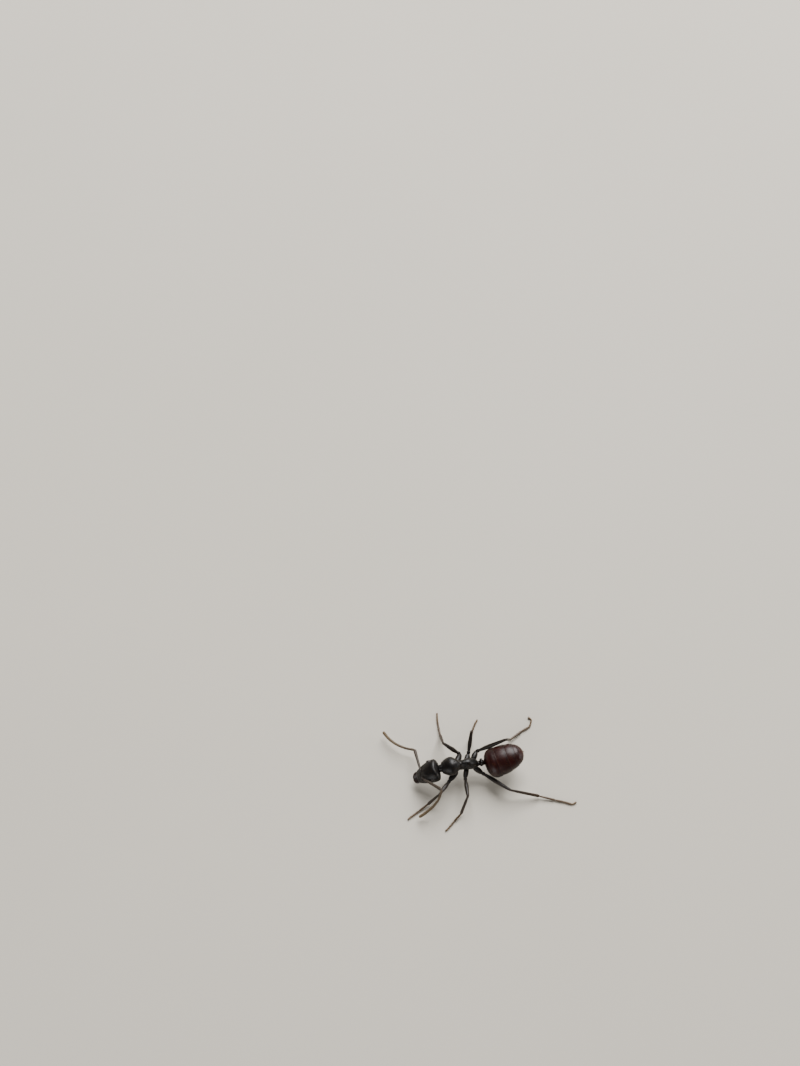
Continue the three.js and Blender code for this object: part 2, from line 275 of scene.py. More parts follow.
def cuticle(name, look):
    # Insect cuticle: hardened chitin, a clear, brown-tinted shell. Its outer layer is glossy, and is
    # netted all over with the outlines of the cells that laid it down. Colour: the main tone, clouded
    # with a second one, then the tone of thin, pale edges, then a darker tone for dark parts and for
    # painted shade in hollows, creases and seams and on the gaster's sides and front.
    material, tree = newMaterial(name)
    place = addNode(tree, "TexCoord").outputs["Object"]
    place = addNode(tree, "Mapping", inputs={
        "Vector": place, "Scale": look["stretch"]}).outputs[0]
    clouds = addNode(tree, "TexNoise", inputs={
        "Vector": place, "Scale": perMetre(look["cloudSize"]), "Detail": 3.0, "Roughness": 0.6})
    cells = addNode(tree, "TexVoronoi", {"feature": "DISTANCE_TO_EDGE"}, {
        "Vector": place, "Scale": perMetre(look["cellSize"]), "Randomness": 0.85})
    net = addNode(tree, "MapRange", {"interpolation_type": "SMOOTHSTEP"}, {
        "Value": cells.outputs["Distance"], "From Min": 0.0, "From Max": 0.2})
    pits = addNode(tree, "TexNoise", inputs={
        "Vector": place, "Scale": perMetre(look["pitSize"]), "Detail": 3.0, "Roughness": 0.55})
    cloud = addNode(tree, "MapRange", {"interpolation_type": "SMOOTHSTEP"}, {
        "Value": clouds.outputs["Fac"], "From Min": 0.38, "From Max": 0.68})
    pale = addNode(tree, "Attribute", {"attribute_name": "pale"})
    dark = addNode(tree, "Attribute", {"attribute_name": "dark"})
    tone = linearColour(look["colour"])
    shares = (cloud.outputs[0], pale.outputs["Fac"], dark.outputs["Fac"])
    # the last of these mixes paints the dark parts and the painted shade held by the "dark" attribute
    for share, key in zip(shares, ("clouded", "paleEdge", "darkAndShade")):
        tone = addNode(tree, "Mix", {"data_type": "RGBA"}, {
            0: share, 6: tone, 7: linearColour(look[key])}).outputs[2]
    gloss = addNode(tree, "MapRange", inputs={
        "Value": pits.outputs["Fac"],
        "To Min": look["roughness"] - 0.06, "To Max": look["roughness"] + 0.08})
    relief = addNode(tree, "Bump", inputs={
        "Height": pits.outputs["Fac"], "Strength": look["pitStrength"], "Distance": 0.01 * millimetre})
    relief = addNode(tree, "Bump", inputs={
        "Height": net.outputs[0], "Strength": look["netStrength"], "Distance": 0.003 * millimetre,
        "Normal": relief.outputs[0]})
    shader = addNode(tree, "BsdfPrincipled", inputs={
        "Base Color": tone, "Roughness": gloss.outputs[0], "Normal": relief.outputs[0], "IOR": 1.56,
        "Specular IOR Level": look["shine"], "Coat Weight": look["coat"], "Coat Roughness": 0.16,
        "Coat IOR": 1.5})
    addNode(tree, "OutputMaterial", inputs={"Surface": shader.outputs[0]})
    return material


# Cell outlines are about 0.02 mm across in life. They are drawn half as large again, to show.
blackCuticle = cuticle("black_cuticle", {  # head, trunk and waist: thick, nearly black, silky gloss
    "colour": "#0a0807", "clouded": "#0f0b09", "paleEdge": "#24110a", "darkAndShade": "#040303",
    "stretch": (1, 1, 1), "cloudSize": 0.6, "cellSize": 0.03, "pitSize": 0.06,
    "roughness": 0.35, "pitStrength": 0.15, "netStrength": 0.25, "shine": 0.27, "coat": 0.0})
gasterCuticle = cuticle("dark_red_cuticle", {  # gaster: thinner and stretched, so light turns it dark red
    "colour": "#200403", "clouded": "#2a0603", "paleEdge": "#4e2813", "darkAndShade": "#080303",
    "stretch": (0.6, 1.6, 1), "cloudSize": 0.8, "cellSize": 0.032, "pitSize": 0.08,
    "roughness": 0.35, "pitStrength": 0.12, "netStrength": 0.2, "shine": 0.28, "coat": 0.03})
jawCuticle = cuticle("jaw_cuticle", {  # mandibles: red-brown, worn smooth, hard black teeth
    "colour": "#180a06", "clouded": "#220e08", "paleEdge": "#4a2815", "darkAndShade": "#080404",
    "stretch": (3, 0.6, 1), "cloudSize": 0.3, "cellSize": 0.04, "pitSize": 0.06,
    "roughness": 0.33, "pitStrength": 0.5, "netStrength": 0.3, "shine": 0.5, "coat": 0.1})
legCuticle = cuticle("leg_cuticle", {  # coxae to shins: dark brown tubes, paler where they are thin
    "colour": "#17100a", "clouded": "#1f150d", "paleEdge": "#3f2c19", "darkAndShade": "#070505",
    "stretch": (1, 1, 1), "cloudSize": 0.5, "cellSize": 0.028, "pitSize": 0.05,
    "roughness": 0.38, "pitStrength": 0.25, "netStrength": 0.3, "shine": 0.3, "coat": 0.0})
footCuticle = cuticle("foot_cuticle", {  # feet: slender, yellower brown, darker at each joint
    "colour": "#45321d", "clouded": "#503b22", "paleEdge": "#7a5e3a", "darkAndShade": "#1a1009",
    "stretch": (1, 1, 1), "cloudSize": 0.4, "cellSize": 0.025, "pitSize": 0.04,
    "roughness": 0.45, "pitStrength": 0.15, "netStrength": 0.14, "shine": 0.5, "coat": 0.0})
feelerCuticle = cuticle("feeler_cuticle", {  # feelers: dull brown under a velvet of fine hair
    "colour": "#423322", "clouded": "#4d3d2a", "paleEdge": "#75603f", "darkAndShade": "#140e09",
    "stretch": (1, 1, 1), "cloudSize": 0.4, "cellSize": 0.025, "pitSize": 0.04,
    "roughness": 0.52, "pitStrength": 0.15, "netStrength": 0.12, "shine": 0.5, "coat": 0.0})


def clouded(name, look):
    # two tones mixed by a noise, then another mixed in by each attribute of the pieces that is named
    material, tree = newMaterial(name)
    place = addNode(tree, "TexCoord").outputs["Object"]
    clouds = addNode(tree, "TexNoise", inputs={
        "Vector": place, "Scale": perMetre(look["cloudSize"]), "Detail": look["detail"]})
    tone = addNode(tree, "Mix", {"data_type": "RGBA"}, {
        0: clouds.outputs["Fac"], 6: linearColour(look["colour"]), 7: linearColour(look["clouded"])})
    for attribute, code in look["edges"].items():
        share = addNode(tree, "Attribute", {"attribute_name": attribute})
        tone = addNode(tree, "Mix", {"data_type": "RGBA"}, {
            0: share.outputs["Fac"], 6: tone.outputs[2], 7: linearColour(code)})
    shader = addNode(tree, "BsdfPrincipled", inputs={"Base Color": tone.outputs[2], **look["surface"]})
    addNode(tree, "OutputMaterial", inputs={"Surface": shader.outputs[0]})
    return material


def hairMaterial(name, root, tip):
    # A seta: a hollow hair of clear golden chitin, darker at its root, with a slight gloss.
    material, tree = newMaterial(name)
    place = addNode(tree, "TexCoord").outputs["Object"]
    tints = addNode(tree, "TexNoise", inputs={"Vector": place, "Scale": perMetre(0.3)})
    far = addNode(tree, "Attribute", {"attribute_name": "pale"})
    tone = addNode(tree, "Mix", {"data_type": "RGBA"}, {
        0: far.outputs["Fac"], 6: linearColour(root), 7: linearColour(tip)})
    value = addNode(tree, "MapRange", inputs={
        "Value": tints.outputs["Fac"], "To Min": 0.7, "To Max": 1.3})
    tone = addNode(tree, "HueSaturation", inputs={
        "Color": tone.outputs[2], "Value": value.outputs[0]})
    shader = addNode(tree, "BsdfPrincipled", inputs={
        "Base Color": tone.outputs[0], "Roughness": 0.38, "IOR": 1.55})
    addNode(tree, "OutputMaterial", inputs={"Surface": shader.outputs[0]})
    return material


# The lenses of a compound eye: clear, smooth cuticle over black-brown pigment, so each lens keeps a small
# sharp glint. The seams between them are painted darker, as painted shade in the creases between the domes.
eyeLenses = clouded("eye_lenses", {
    "colour": "#1f1916", "clouded": "#302723", "edges": {"dark": "#0b0908"}, "cloudSize": 0.15,
    "detail": 2.0, "surface": {"Roughness": 0.3, "IOR": 1.5, "Coat Weight": 0.4, "Coat Roughness": 0.1}})
# Uncoated card for the floor: matt and even, with a faint cloudiness from its fibres.
paleCard = clouded("pale_card", {
    "colour": "#cdc6b8", "clouded": "#d3ccbf", "edges": {}, "cloudSize": 40,
    "detail": 4.0, "surface": {"Roughness": 0.8}})
bodyHair = hairMaterial("golden_setae", "#3c2814", "#8a6c40")
limbHair = hairMaterial("limb_setae", "#302113", "#745a38")

print("camera, floor and lights")

view = {  # looking steeply down on the ant's left side, its head to the left
    "azimuth": 80,
    "elevation": 62.97,
    "lens": 49.5,
    "place": (47.504, -15.834, 154.244),  # from the ant's own origin
}
turn = Matrix.Rotation(np.radians(view["azimuth"]), 4, "Z")
tilt = Matrix.Rotation(np.radians(90 - view["elevation"]), 4, "X")  # from looking straight down
cameraData = bpy.data.cameras.new("camera")
cameraData.lens = view["lens"]
cameraData.sensor_width = 36.0
cameraData.clip_start = 0.005
cameraData.clip_end = 10.0
camera = newObject("camera", cameraData)
camera.matrix_world = Matrix.Translation((np.array(view["place"]) + offset) * millimetre) @ turn @ tilt
bpy.context.scene.camera = camera

floorHalf = 1.5  # in metres
floorCorners = [(x * floorHalf, y * floorHalf, 0) for x, y in ((-1, -1), (1, -1), (1, 1), (-1, 1))]
floorMesh = bpy.data.meshes.new("floor")
floorMesh.from_pydata(floorCorners, [], [(0, 1, 2, 3)])
floorMesh.materials.append(paleCard)
floor = newObject("floor", floorMesh)

world = bpy.data.worlds.new("soft_room")
bpy.context.scene.world = world
world.use_nodes = True
room = world.node_tree
roomHeight = addNode(room, "SeparateXYZ", inputs={
    0: addNode(room, "TexCoord").outputs["Generated"]})
roomShare = addNode(room, "MapRange", {"interpolation_type": "SMOOTHSTEP"}, {
    "Value": roomHeight.outputs["Z"], "From Min": 0.02, "From Max": 0.7})
roomTone = addNode(room, "Mix", {"data_type": "RGBA"}, {  # pale walls under a dim ceiling
    0: roomShare.outputs[0], 6: linearColour("#e2e0db"), 7: linearColour("#26292d")})
room.links.new(roomTone.outputs[2], room.nodes["Background"].inputs["Color"])
room.nodes["Background"].inputs["Strength"].default_value = 0.6

softBoxes = {  # name: where it hangs and its side in metres, and its watts
    "key": ((-0.34, 0.14, 0.40), 0.42, 6.4),
    "fill": ((0.40, -0.30, 0.24), 0.36, 1.0),
    "rim": ((0.05, 0.52, 0.20), 0.28, 0.8),
}
for name, (spot, size, power) in softBoxes.items():
    lightData = bpy.data.lights.new(name, "AREA")
    lightData.size = size
    lightData.energy = power
    aim = Vector(spot).to_track_quat("Z", "Y").to_matrix().to_4x4()  # it shines at the origin
    newObject(name, lightData).matrix_world = Matrix.Translation(spot) @ aim

print("head")

head = {
    "length": 2.75,
    "halfWidth": 1.25,
    "widths": [[0, 0.52], [0.2, 0.72], [0.45, 0.9], [0.72, 1], [0.88, 0.97], [1, 0.84]],
    "tops": [[0, 0.12], [0.2, 0.42], [0.45, 0.72], [0.7, 0.84], [0.9, 0.76], [1, 0.62]],
    "bottoms": [[0, -0.34], [0.25, -0.6], [0.6, -0.8], [0.85, -0.74], [1, -0.56]],
    "ends": (0.05, 0.16),  # shares of the length that are rounded off
    "grid": (210, 230),  # rows and columns, here and below
    "notch": 0.12,  # how far the hind margin is hollowed between the corners
    "clypeus": (0.5, 0.66),  # half width, and length from the front margin
    "clypeusRise": 0.03,
    "socket": (0.5, 0.7),  # of a feeler: from the middle line, and back from the front margin
    "ridgeStart": 0.55,  # back from the front margin
    "ridgeLength": 0.95,
    "betweenRidges": 0.015,
    "mouthDepth": 0.12,
}

headForms = {  # [where, height, width]
    "clypeusGroove": (1.06, -0.018, 0.035),  # where and width as shares of the clypeus
    "keel": (0, 0.025, 0.04),
    "pitRim": (0.2, 0.035, 0.045),
    "pit": (0, -0.14, 0.13),
    "ridge": (0, 0.05, 0.04),
    "furrow": (0, -0.014, 0.02),
    "eyeGroove": (0.98, -0.014, 0.08),  # where and width as shares of the eye
    "throatSeam": (0, -0.025, 0.025),
    "lip": (0.53, 0.03, 0.05),
}

eye = {
    "centre": (1.07, -0.95, 0.34),
    "half": (0.16, 0.28, 0.23),
    "turn": 12,
    "tilt": 28,  # how far its axis looks up, as the side of the head does there
    "lensPitch": 0.034,  # drawn about half as fine as life, where lenses are 0.02 mm apart
    "bulge": 0.005,
    "grid": (90, 190),
}


def inHead(points):
    # from the head's own frame into the body's
    return placed(points, body["headPitch"], body["headYaw"], body["neck"])


def fromMargin(points):
    # points of the face, whose y is counted back from the head's front margin
    return np.array(points) - np.array([0, head["length"], 0])


def headGrid():
    # an ellipse of the tables' width and height round the head's middle line, carried from the front
    # margin to the neck and rounded off there. Its relief is a sum of humps and ramps: a raised clypeus,
    # a keel, pits with rims for the feelers, two curved ridges, a furrow, and grooves round the eyes.
    s, a = sharesAndTurns(*head["grid"])
    ends = roundEnds(s, *head["ends"])
    tops, bottoms = along(head["tops"], s), along(head["bottoms"], s)
    x = head["halfWidth"] * along(head["widths"], s) * ends * np.cos(a)
    z = (tops + bottoms) / 2 + (tops - bottoms) / 2 * ends * np.sin(a)
    back = s * head["length"]
    y = back - head["length"]
    across = np.abs(x)
    face = ramp(np.sin(a), -0.05, 0.3)
    throat = ramp(-np.sin(a), 0.25, 0.6)

    halfWidth, length = head["clypeus"]
    plate = np.hypot(x / halfWidth, back / length)
    relief = head["clypeusRise"] * ramp(1.04 - plate, 0, 0.14) + form(plate, headForms["clypeusGroove"])
    relief = relief + form(x, headForms["keel"]) * ramp(1 - plate, 0, 0.3)
    toSocket = np.hypot(across - head["socket"][0], back - head["socket"][1])
    relief = relief + form(toSocket, headForms["pitRim"]) + form(toSocket, headForms["pit"])
    t = (back - head["ridgeStart"]) / head["ridgeLength"]
    ridge = 0.2 + 0.2 * np.clip(t, 0, 1) ** 1.3  # from the middle line
    between = head["betweenRidges"] * ramp(ridge - across, 0, 0.1)
    span = ramp(t, 0, 0.12) * ramp(1 - t, 0, 0.35)
    relief = relief + span * (form(across - ridge, headForms["ridge"]) + between)
    furrow = form(x, headForms["furrow"]) * ramp(back, 0.67, 0.82) * ramp(1.85 - back, 0, 0.3)
    relief = face * (relief + furrow)

    tilt = np.radians(eye["tilt"])
    upSide = (z - eye["centre"][2]) * np.cos(tilt) - (across - eye["centre"][0]) * np.sin(tilt)
    toEye = np.hypot((y - eye["centre"][1]) / eye["half"][1], upSide / eye["half"][2])
    relief = relief + (across > 0.6) * form(toEye, headForms["eyeGroove"])
    mouth = ramp(0.5 - across, 0, 0.12) * ramp(0.7 - back, 0, 0.14)
    seam = form(x, headForms["throatSeam"]) * ramp(back, 0.65, 0.8) * ramp(-0.35 - y, 0, 0.3)
    lip = form(across, headForms["lip"]) * ramp(0.75 - back, 0, 0.1)
    relief = relief + throat * (seam + lip - head["mouthDepth"] * mouth)
    points = raised(pointGrid(x, y, z), relief)
    points[..., 1] -= head["notch"] * hump(x, 0.5) * ramp(s, 0.72, 1)

    pale = 0.25 * ramp(0.25 - back, 0, 0.25) + 0.2 * hump(toSocket - 0.2, 0.08) * face
    # painted shade: darker in the clypeus's groove, deep in each feeler's pit and in the hollow of the
    # mouth
    dark = face * (0.5 * hump(plate - 1.06, 0.04) + 0.9 * hump(toSocket, 0.13)) + 0.8 * mouth * throat
    hairy = (toEye > 1.2) * (toSocket > 0.26) * ramp(0.94 - s, 0, 0.04) * (1 - mouth * throat)
    return inHead(points), np.clip(pale, 0, 1), np.clip(dark, 0, 1), hairy


headPoints, headPale, headShade, headHairy = headGrid()
addPiece("head_capsule", closedShape(headPoints, headPale, headShade), blackCuticle, "shell", "head")


def eyeGrid(side):
    # a squashed sphere round the axis that points sideways, raised into domes on a six-sided lattice:
    # each dome falls with the square of the distance to the nearest of the lattice's points
    rows, columns = eye["grid"]
    theta = np.linspace(0.02, 2.0, rows)[:, None]
    phi = turnedCircle(columns)[None, :]
    half = np.array(eye["half"])
    ball = half * pointGrid(np.cos(theta), np.sin(theta) * np.cos(phi), np.sin(theta) * np.sin(phi))
    flat = theta[..., None] * np.stack([np.cos(phi), np.sin(phi)], axis=-1) * half[1:]
    pitch = np.array([eye["lensPitch"], eye["lensPitch"] * np.sqrt(3)])
    toLens = np.minimum(*(
        np.linalg.norm(flat - (np.round(flat / pitch - shift) + shift) * pitch, axis=-1)
        for shift in (0.0, 0.5)))
    share = toLens / (eye["lensPitch"] / np.sqrt(3))
    x, y, z = np.moveaxis(raised(ball, eye["bulge"] * (1 - share ** 2)), -1, 0)
    tilt = np.radians(eye["tilt"])
    points = pointGrid(x * np.cos(tilt) - z * np.sin(tilt), y, x * np.sin(tilt) + z * np.cos(tilt))
    points = placed(points, 0, eye["turn"], eye["centre"])
    # painted shade: darker in the seams between the lens domes
    seamShade = ramp(share, 0.6, 1.0)
    if side < 0:
        points, seamShade = mirrored(points, seamShade)
    return inHead(points), seamShade


for name, side in (("left", 1), ("right", -1)):
    lenses, seamShade = eyeGrid(side)
    addPiece(f"compound_eye_{name}", closedShape(lenses, 0.0, seamShade), eyeLenses, "eye", f"eye_{name}")

jaw = {  # each edge from hinge to tip: [share, from the middle line] and [share, back from the margin]
    "outerAcross": [[0, 0.60], [0.25, 0.66], [0.5, 0.62], [0.75, 0.44], [1, 0.1]],
    "outerBack": [[0, 0.2], [0.25, -0.02], [0.5, -0.27], [0.75, -0.48], [1, -0.6]],
    "innerAcross": [[0, 0.1], [0.25, -0.01], [0.5, -0.05], [0.75, -0.05], [1, -0.02]],
    "innerBack": [[0, 0.2], [0.25, 0.04], [0.5, -0.18], [0.75, -0.4], [1, -0.6]],
    "height": -0.27,  # of its hinge from the head's middle line
    "droop": 0.10,
    "toothFrom": 0.3,
    "teeth": 6,
    "toothDepth": 0.08,
    "over": 0.04,  # how far the left one's biting edge lies above the middle, and the right one's below
    "thickness": 0.19,
    "grid": (150, 36),
}


def jawGrid(side):
    # a pillow between an outer and an inner edge: each row is a flat loop from one to the other and
    # back, thick at the outer edge and sharp at the inner one, which is notched into teeth
    u, a = sharesAndTurns(*jaw["grid"])
    c = (1 - np.cos(a)) / 2  # 0 at the outer edge and 1 at the inner one
    bite = np.clip((u - jaw["toothFrom"]) / (1 - jaw["toothFrom"]), 0, 1)
    saw = (bite * jaw["teeth"]) % 1
    notch = np.minimum(saw / 0.3, (1 - saw) / 0.7) * ramp(bite, 0, 0.08) * (1 - 0.4 * bite)
    x = along(jaw["outerAcross"], u) * (1 - c) + along(jaw["innerAcross"], u) * c
    x = x + jaw["toothDepth"] * notch * c ** 6
    y = along(jaw["outerBack"], u) * (1 - c) + along(jaw["innerBack"], u) * c
    ends = roundEnds(u, 0.08, 0.06)
    z = jaw["height"] - jaw["droop"] * u ** 2 + side * jaw["over"] * c
    z = z + ends * (jaw["thickness"] * np.sin(a) * (1 - 0.78 * c) + 0.06 * (1 - c))
    points = pointGrid(x, y, z)[:, ::-1]
    teeth = (ramp(c, 0.72, 0.95) * ramp(u, 0.2, 0.4))[:, ::-1]
    if side < 0:
        points, teeth = mirrored(points, teeth)
    return inHead(fromMargin(points)), teeth


jawGrids = []
for name, side in (("left", 1), ("right", -1)):
    blade, teeth = jawGrid(side)
    jawGrids.append(blade)
    addPiece(f"jaw_{name}", closedShape(blade, 0.0, teeth), jawCuticle, "jaw", f"mandible_{name}")


def bentPath(corners, fillets):
    # straight runs between corners, each corner rounded by a quadratic curve, sampled at even distances,
    # with a frame carried along it: the up direction only ever loses its part along the path
    corners = np.array(corners, float)
    steps, spacing = 12, 0.02  # of a corner's curve, and between samples
    t = np.linspace(0, 1, steps + 1)[:, None]
    line, marks = [corners[:1]], []
    count = 1
    for before, corner, after, fillet in zip(corners[:-2], corners[1:-1], corners[2:], fillets):
        reach = min(fillet, np.linalg.norm(after - corner) / 2.2)  # leaves room for the next fillet
        start = corner + unit(before - corner) * reach
        end = corner + unit(after - corner) * reach
        line.append((1 - t) ** 2 * start + 2 * t * (1 - t) * corner + t ** 2 * end)
        marks.append(count + steps // 2)
        count += steps + 1
    line = np.concatenate([*line, corners[-1:]])
    travelled = np.concatenate([[0], np.cumsum(np.linalg.norm(np.diff(line, axis=0), axis=1))])
    joints = [*travelled[marks], travelled[-1]]
    distance = np.linspace(0, travelled[-1], int(travelled[-1] / spacing) + 2)
    centre = np.stack([np.interp(distance, travelled, line[:, k]) for k in range(3)], axis=-1)
    ahead = unit(np.gradient(centre, axis=0))
    ups = np.empty_like(centre)
    up = upward
    for i, direction in enumerate(ahead):
        up = unit(up - direction * (up @ direction))
        ups[i] = up
    return {"distance": distance, "centre": centre, "ahead": ahead, "up": ups, "joints": joints}


def pathFrame(path, distance):
    # centre, direction, side and up at any distances, between the path's samples
    def read(key):
        return np.stack([np.interp(distance, path["distance"], path[key][:, k]) for k in range(3)], axis=-1)

    ahead = unit(read("ahead"))
    up = read("up")
    up = unit(up - ahead * np.sum(up * ahead, axis=-1, keepdims=True))
    return read("centre"), ahead, np.cross(ahead, up), up


def limbGrid(path, start, end, radii, rows, columns, ends=(0.04, 0.04), narrow=1.0):
    # a circle of the table's radius, made narrower sideways by a share, carried between two distances
    t = easedShares(rows)
    centre, ahead, side, up = pathFrame(path, start + (end - start) * t)
    r = (along(radii, t) * roundEnds(t, *ends))[:, None, None]
    a = turnedCircle(columns)[None, :, None]
    return centre[:, None] + r * (narrow * side[:, None] * np.cos(a) + up[:, None] * np.sin(a))


def curvedSpike(root, ahead, bend, length, radius):
    # a spur or claw: a circle that shrinks nearly to a point along a parabola from root
    rows, columns = 12, 10
    t = np.linspace(0.02, 1, rows)[:, None]
    ahead, bend = unit(np.array(ahead, float)), np.array(bend, float)
    centre = np.array(root) + length * (ahead * t + bend * t ** 2)
    tangent = unit(ahead + 2 * bend * t)
    side = unit(np.cross(tangent, upward + 0.01))
    up = np.cross(side, tangent)
    r = (radius * (1 - t ** 1.5) + 0.002)[..., None]
    a = turnedCircle(columns)[None, :, None]
    return centre[:, None] + r * (side[:, None] * np.cos(a) + up[:, None] * np.sin(a))


print("mouthparts, neck and trunk")

palps = {  # two pairs of mouth feelers, hung under the head
    "outer": {"root": (0.30, 0.32, -0.42), "reach": 1.05, "beads": 6, "radius": 0.04, "spread": 1.0},
    "inner": {"root": (0.14, 0.22, -0.42), "reach": 0.62, "beads": 4, "radius": 0.036, "spread": 0.4},
}
palpCourse = [[0, 0, 0], [0.06, -0.14, -0.2], [0.12, 0.14, -0.4], [0.14, 0.6, -0.46]]  # shares of the reach
labrum = {
    "halfWidth": 0.36,
    "length": 0.62,
    "halfThickness": 0.07,
    "root": (0.55, -0.43),  # back from the head's front margin, and height
    "rise": 0.1,
    "grid": (40, 48),
}


def palpShapes(look, side):
    # beads end to end along an arc that droops and runs back under the throat, each a little wider past
    # its middle
    corners = fromMargin(look["root"]) + np.array(palpCourse) * look["reach"] * (look["spread"], 1, 1)
    path = bentPath(inHead(corners * (side, 1, 1)), [0.15, 0.15])
    edges = np.linspace(0, path["joints"][-1], look["beads"] + 1)
    bead = [[0, 0.7 * look["radius"]], [0.6, look["radius"]], [1, 0.8 * look["radius"]]]
    return [closedShape(limbGrid(path, a - 0.01, b + 0.01, bead, 10, 10, (0.2, 0.2)), 0.3)
            for a, b in zip(edges[:-1], edges[1:])]


def labrumGrid():
    # a flat tongue-like plate that closes the mouth from below: an ellipse carried forwards, rising
    s, a = sharesAndTurns(*labrum["grid"])
    ends = roundEnds(s, 0.3, 0.4)
    back, height = labrum["root"]
    x = labrum["halfWidth"] * ends * np.cos(a)
    z = height + labrum["rise"] * s + labrum["halfThickness"] * ends * np.sin(a)
    return inHead(fromMargin(pointGrid(x, back - labrum["length"] * s, z)[:, ::-1]))


mouthShapes = [shape for look in palps.values() for side in (1, -1) for shape in palpShapes(look, side)]
mouthShapes.append(closedShape(labrumGrid(), 0.2))
addPiece("mouthparts", joined(mouthShapes), jawCuticle, "jaw")

neck = {
    "corners": [(-0.05, -2.6, 2.52), (-0.03, -3.0, 2.54), (0.01, -3.6, 2.36)],  # from the trunk forwards
    "radii": [[0, 0.5], [0.4, 0.42], [0.6, 0.37], [1, 0.26]],
    "grid": (30, 48),
    "ringHeight": 0.006,
    "rings": 4.5,
}
neckPath = bentPath(neck["corners"], [0.2])
neckTube = limbGrid(neckPath, 0, neckPath["joints"][-1], neck["radii"], *neck["grid"])
neckTurns = np.linspace(0, 2 * np.pi * neck["rings"], len(neckTube))[:, None]
neckRings = neck["ringHeight"] * np.sin(neckTurns)
addPiece("neck", closedShape(raised(neckTube, neckRings), 0.0, 0.6), blackCuticle, "shell")

trunk = {
    "widths": [[0, 0.46], [0.09, 0.76], [0.22, 1], [0.34, 0.96], [0.48, 0.5], [0.58, 0.5], [0.75, 0.62],
               [0.9, 0.52], [1, 0.36]],
    "tops": [[0, 2.86], [0.1, 3.16], [0.27, 3.42], [0.4, 3.32], [0.52, 3.05], [0.62, 3.14], [0.76, 3.12],
             [0.9, 2.76], [1, 2.42]],
    "bottoms": [[0, 2.2], [0.14, 1.88], [0.35, 1.74], [0.55, 1.7], [0.8, 1.7], [1, 1.84]],
    "ends": (0.05, 0.06),  # shares of the length that are rounded off
    "tuck": 0.045,  # share of the length by which a plate runs on under the one before it
    "lip": [(0.0, 0.995), (0.002, 0.975), (0.0, 0.945), (-0.01, 0.90)],  # how a hind edge turns in
}

trunkForms = {  # [where, height, width]: where and width as shares of the length, or from -1 to 1 up a side
    "collar": (0.05, 0.012, 0.012),
    "collarGroove": (0.078, -0.015, 0.012),
    "hipGroove": (-0.15, -0.035, 0.09),
    "bellySeam": (-1, -0.02, 0.05),
    "shieldGroove": (0.55, -0.025, 0.06),
    "sideGroove": (-0.1, -0.03, 0.1),
    "saddleGroove": (0.605, -0.03, 0.008),
    "hindGroove": (-0.15, -0.02, 0.07),
    "backStep": (0.86, 0.015, 0.02),
    "smallHoleRim": (0.05, 0.03, 0.022),  # from here on in millimetres from the middle of a hole or gland
    "smallHole": (0, -0.03, 0.035),
    "holeRim": (0.08, 0.03, 0.026),
    "hole": (0, -0.05, 0.05),
    "gland": (0, 0.04, 0.14),
    "glandGroove": (0.16, -0.04, 0.03),
}
trunkSpots = {"smallHole": (0.628, 2.86), "hole": (0.80, 2.66), "gland": (0.925, 2.0)}  # share, height
leadRows = 12  # of a plate's tucked front edge
poleGap = 0.0005  # share of a body's length left open before a pole


def trunkPoint(s, a, scale=1.0):
    # the ellipse of the tables' width and height at share s, shrunk about its own middle
    s = np.clip(s, 0, 1)
    ends = roundEnds(s, *trunk["ends"]) * scale
    tops, bottoms = along(trunk["tops"], s), along(trunk["bottoms"], s)
    x = along(trunk["widths"], s) * ends * np.cos(a)
    z = (tops + bottoms) / 2 + (tops - bottoms) / 2 * ends * np.sin(a)
    return pointGrid(x, s * body["trunkLength"], z) + body["trunkStart"]


def platedGrid(point, start, end, rows, columns, relief, look):
    # one plate of a body: rows from its front edge to its hind edge, led in under the plate before it
    # and closed behind by a lip that turns inward
    s = np.linspace(max(start, poleGap), min(end, 1 - poleGap), rows)
    scale = np.ones(rows)
    if start > 0:
        s = np.concatenate([start + look["tuck"] * np.linspace(-1, -0.08, leadRows), s])
        scale = np.concatenate([np.full(leadRows, 0.955), [0.965, 0.982, 0.994], scale[3:]])
    if end < 1:
        shifts, shrinks = np.array(look["lip"]).T
        s, scale = np.concatenate([s, end + shifts]), np.concatenate([scale, shrinks])
    s, a = s[:, None], turnedCircle(columns)[None, :]
    height = np.sin(a) * np.ones_like(s)  # -1 at the belly and 1 at the back
    points = point(s, a, scale[:, None])
    return raised(points, relief(s, height, points)), s, height


def spotDistance(points, share, height):
    # distance in millimetres to a spot given by share along the trunk and height, on either side
    y = body["trunkStart"][1] + share * body["trunkLength"]
    return np.hypot(points[..., 1] - y, points[..., 2] - height)


def pronotumRelief(s, height, points):
    # a faint collar in front, a groove down each side above the front hips, and a raised hind rim
    collar = form(s, trunkForms["collar"]) + form(s, trunkForms["collarGroove"])
    groove = form(height + 2.6 * (s - 0.12), trunkForms["hipGroove"]) * ramp(s, 0.06, 0.1)
    rim = 0.015 * ramp(s, 0.40, 0.42) * ramp(height, -0.3, 0.1)
    return collar + groove + rim + form(height, trunkForms["bellySeam"])


def mesothoraxRelief(s, height, points):
    # a shield on top marked off by a groove, a slanting groove on each side, and breathing holes on the
    # saddle behind
    toHole = spotDistance(points, *trunkSpots["smallHole"])
    hole = form(toHole, trunkForms["smallHoleRim"]) + form(toHole, trunkForms["smallHole"])
    groove = form(height - 3.0 * (s - 0.55), trunkForms["sideGroove"])
    saddle = form(s, trunkForms["saddleGroove"]) * ramp(height, -0.2, 0.2)
    return form(height, trunkForms["shieldGroove"]) + groove + saddle + hole


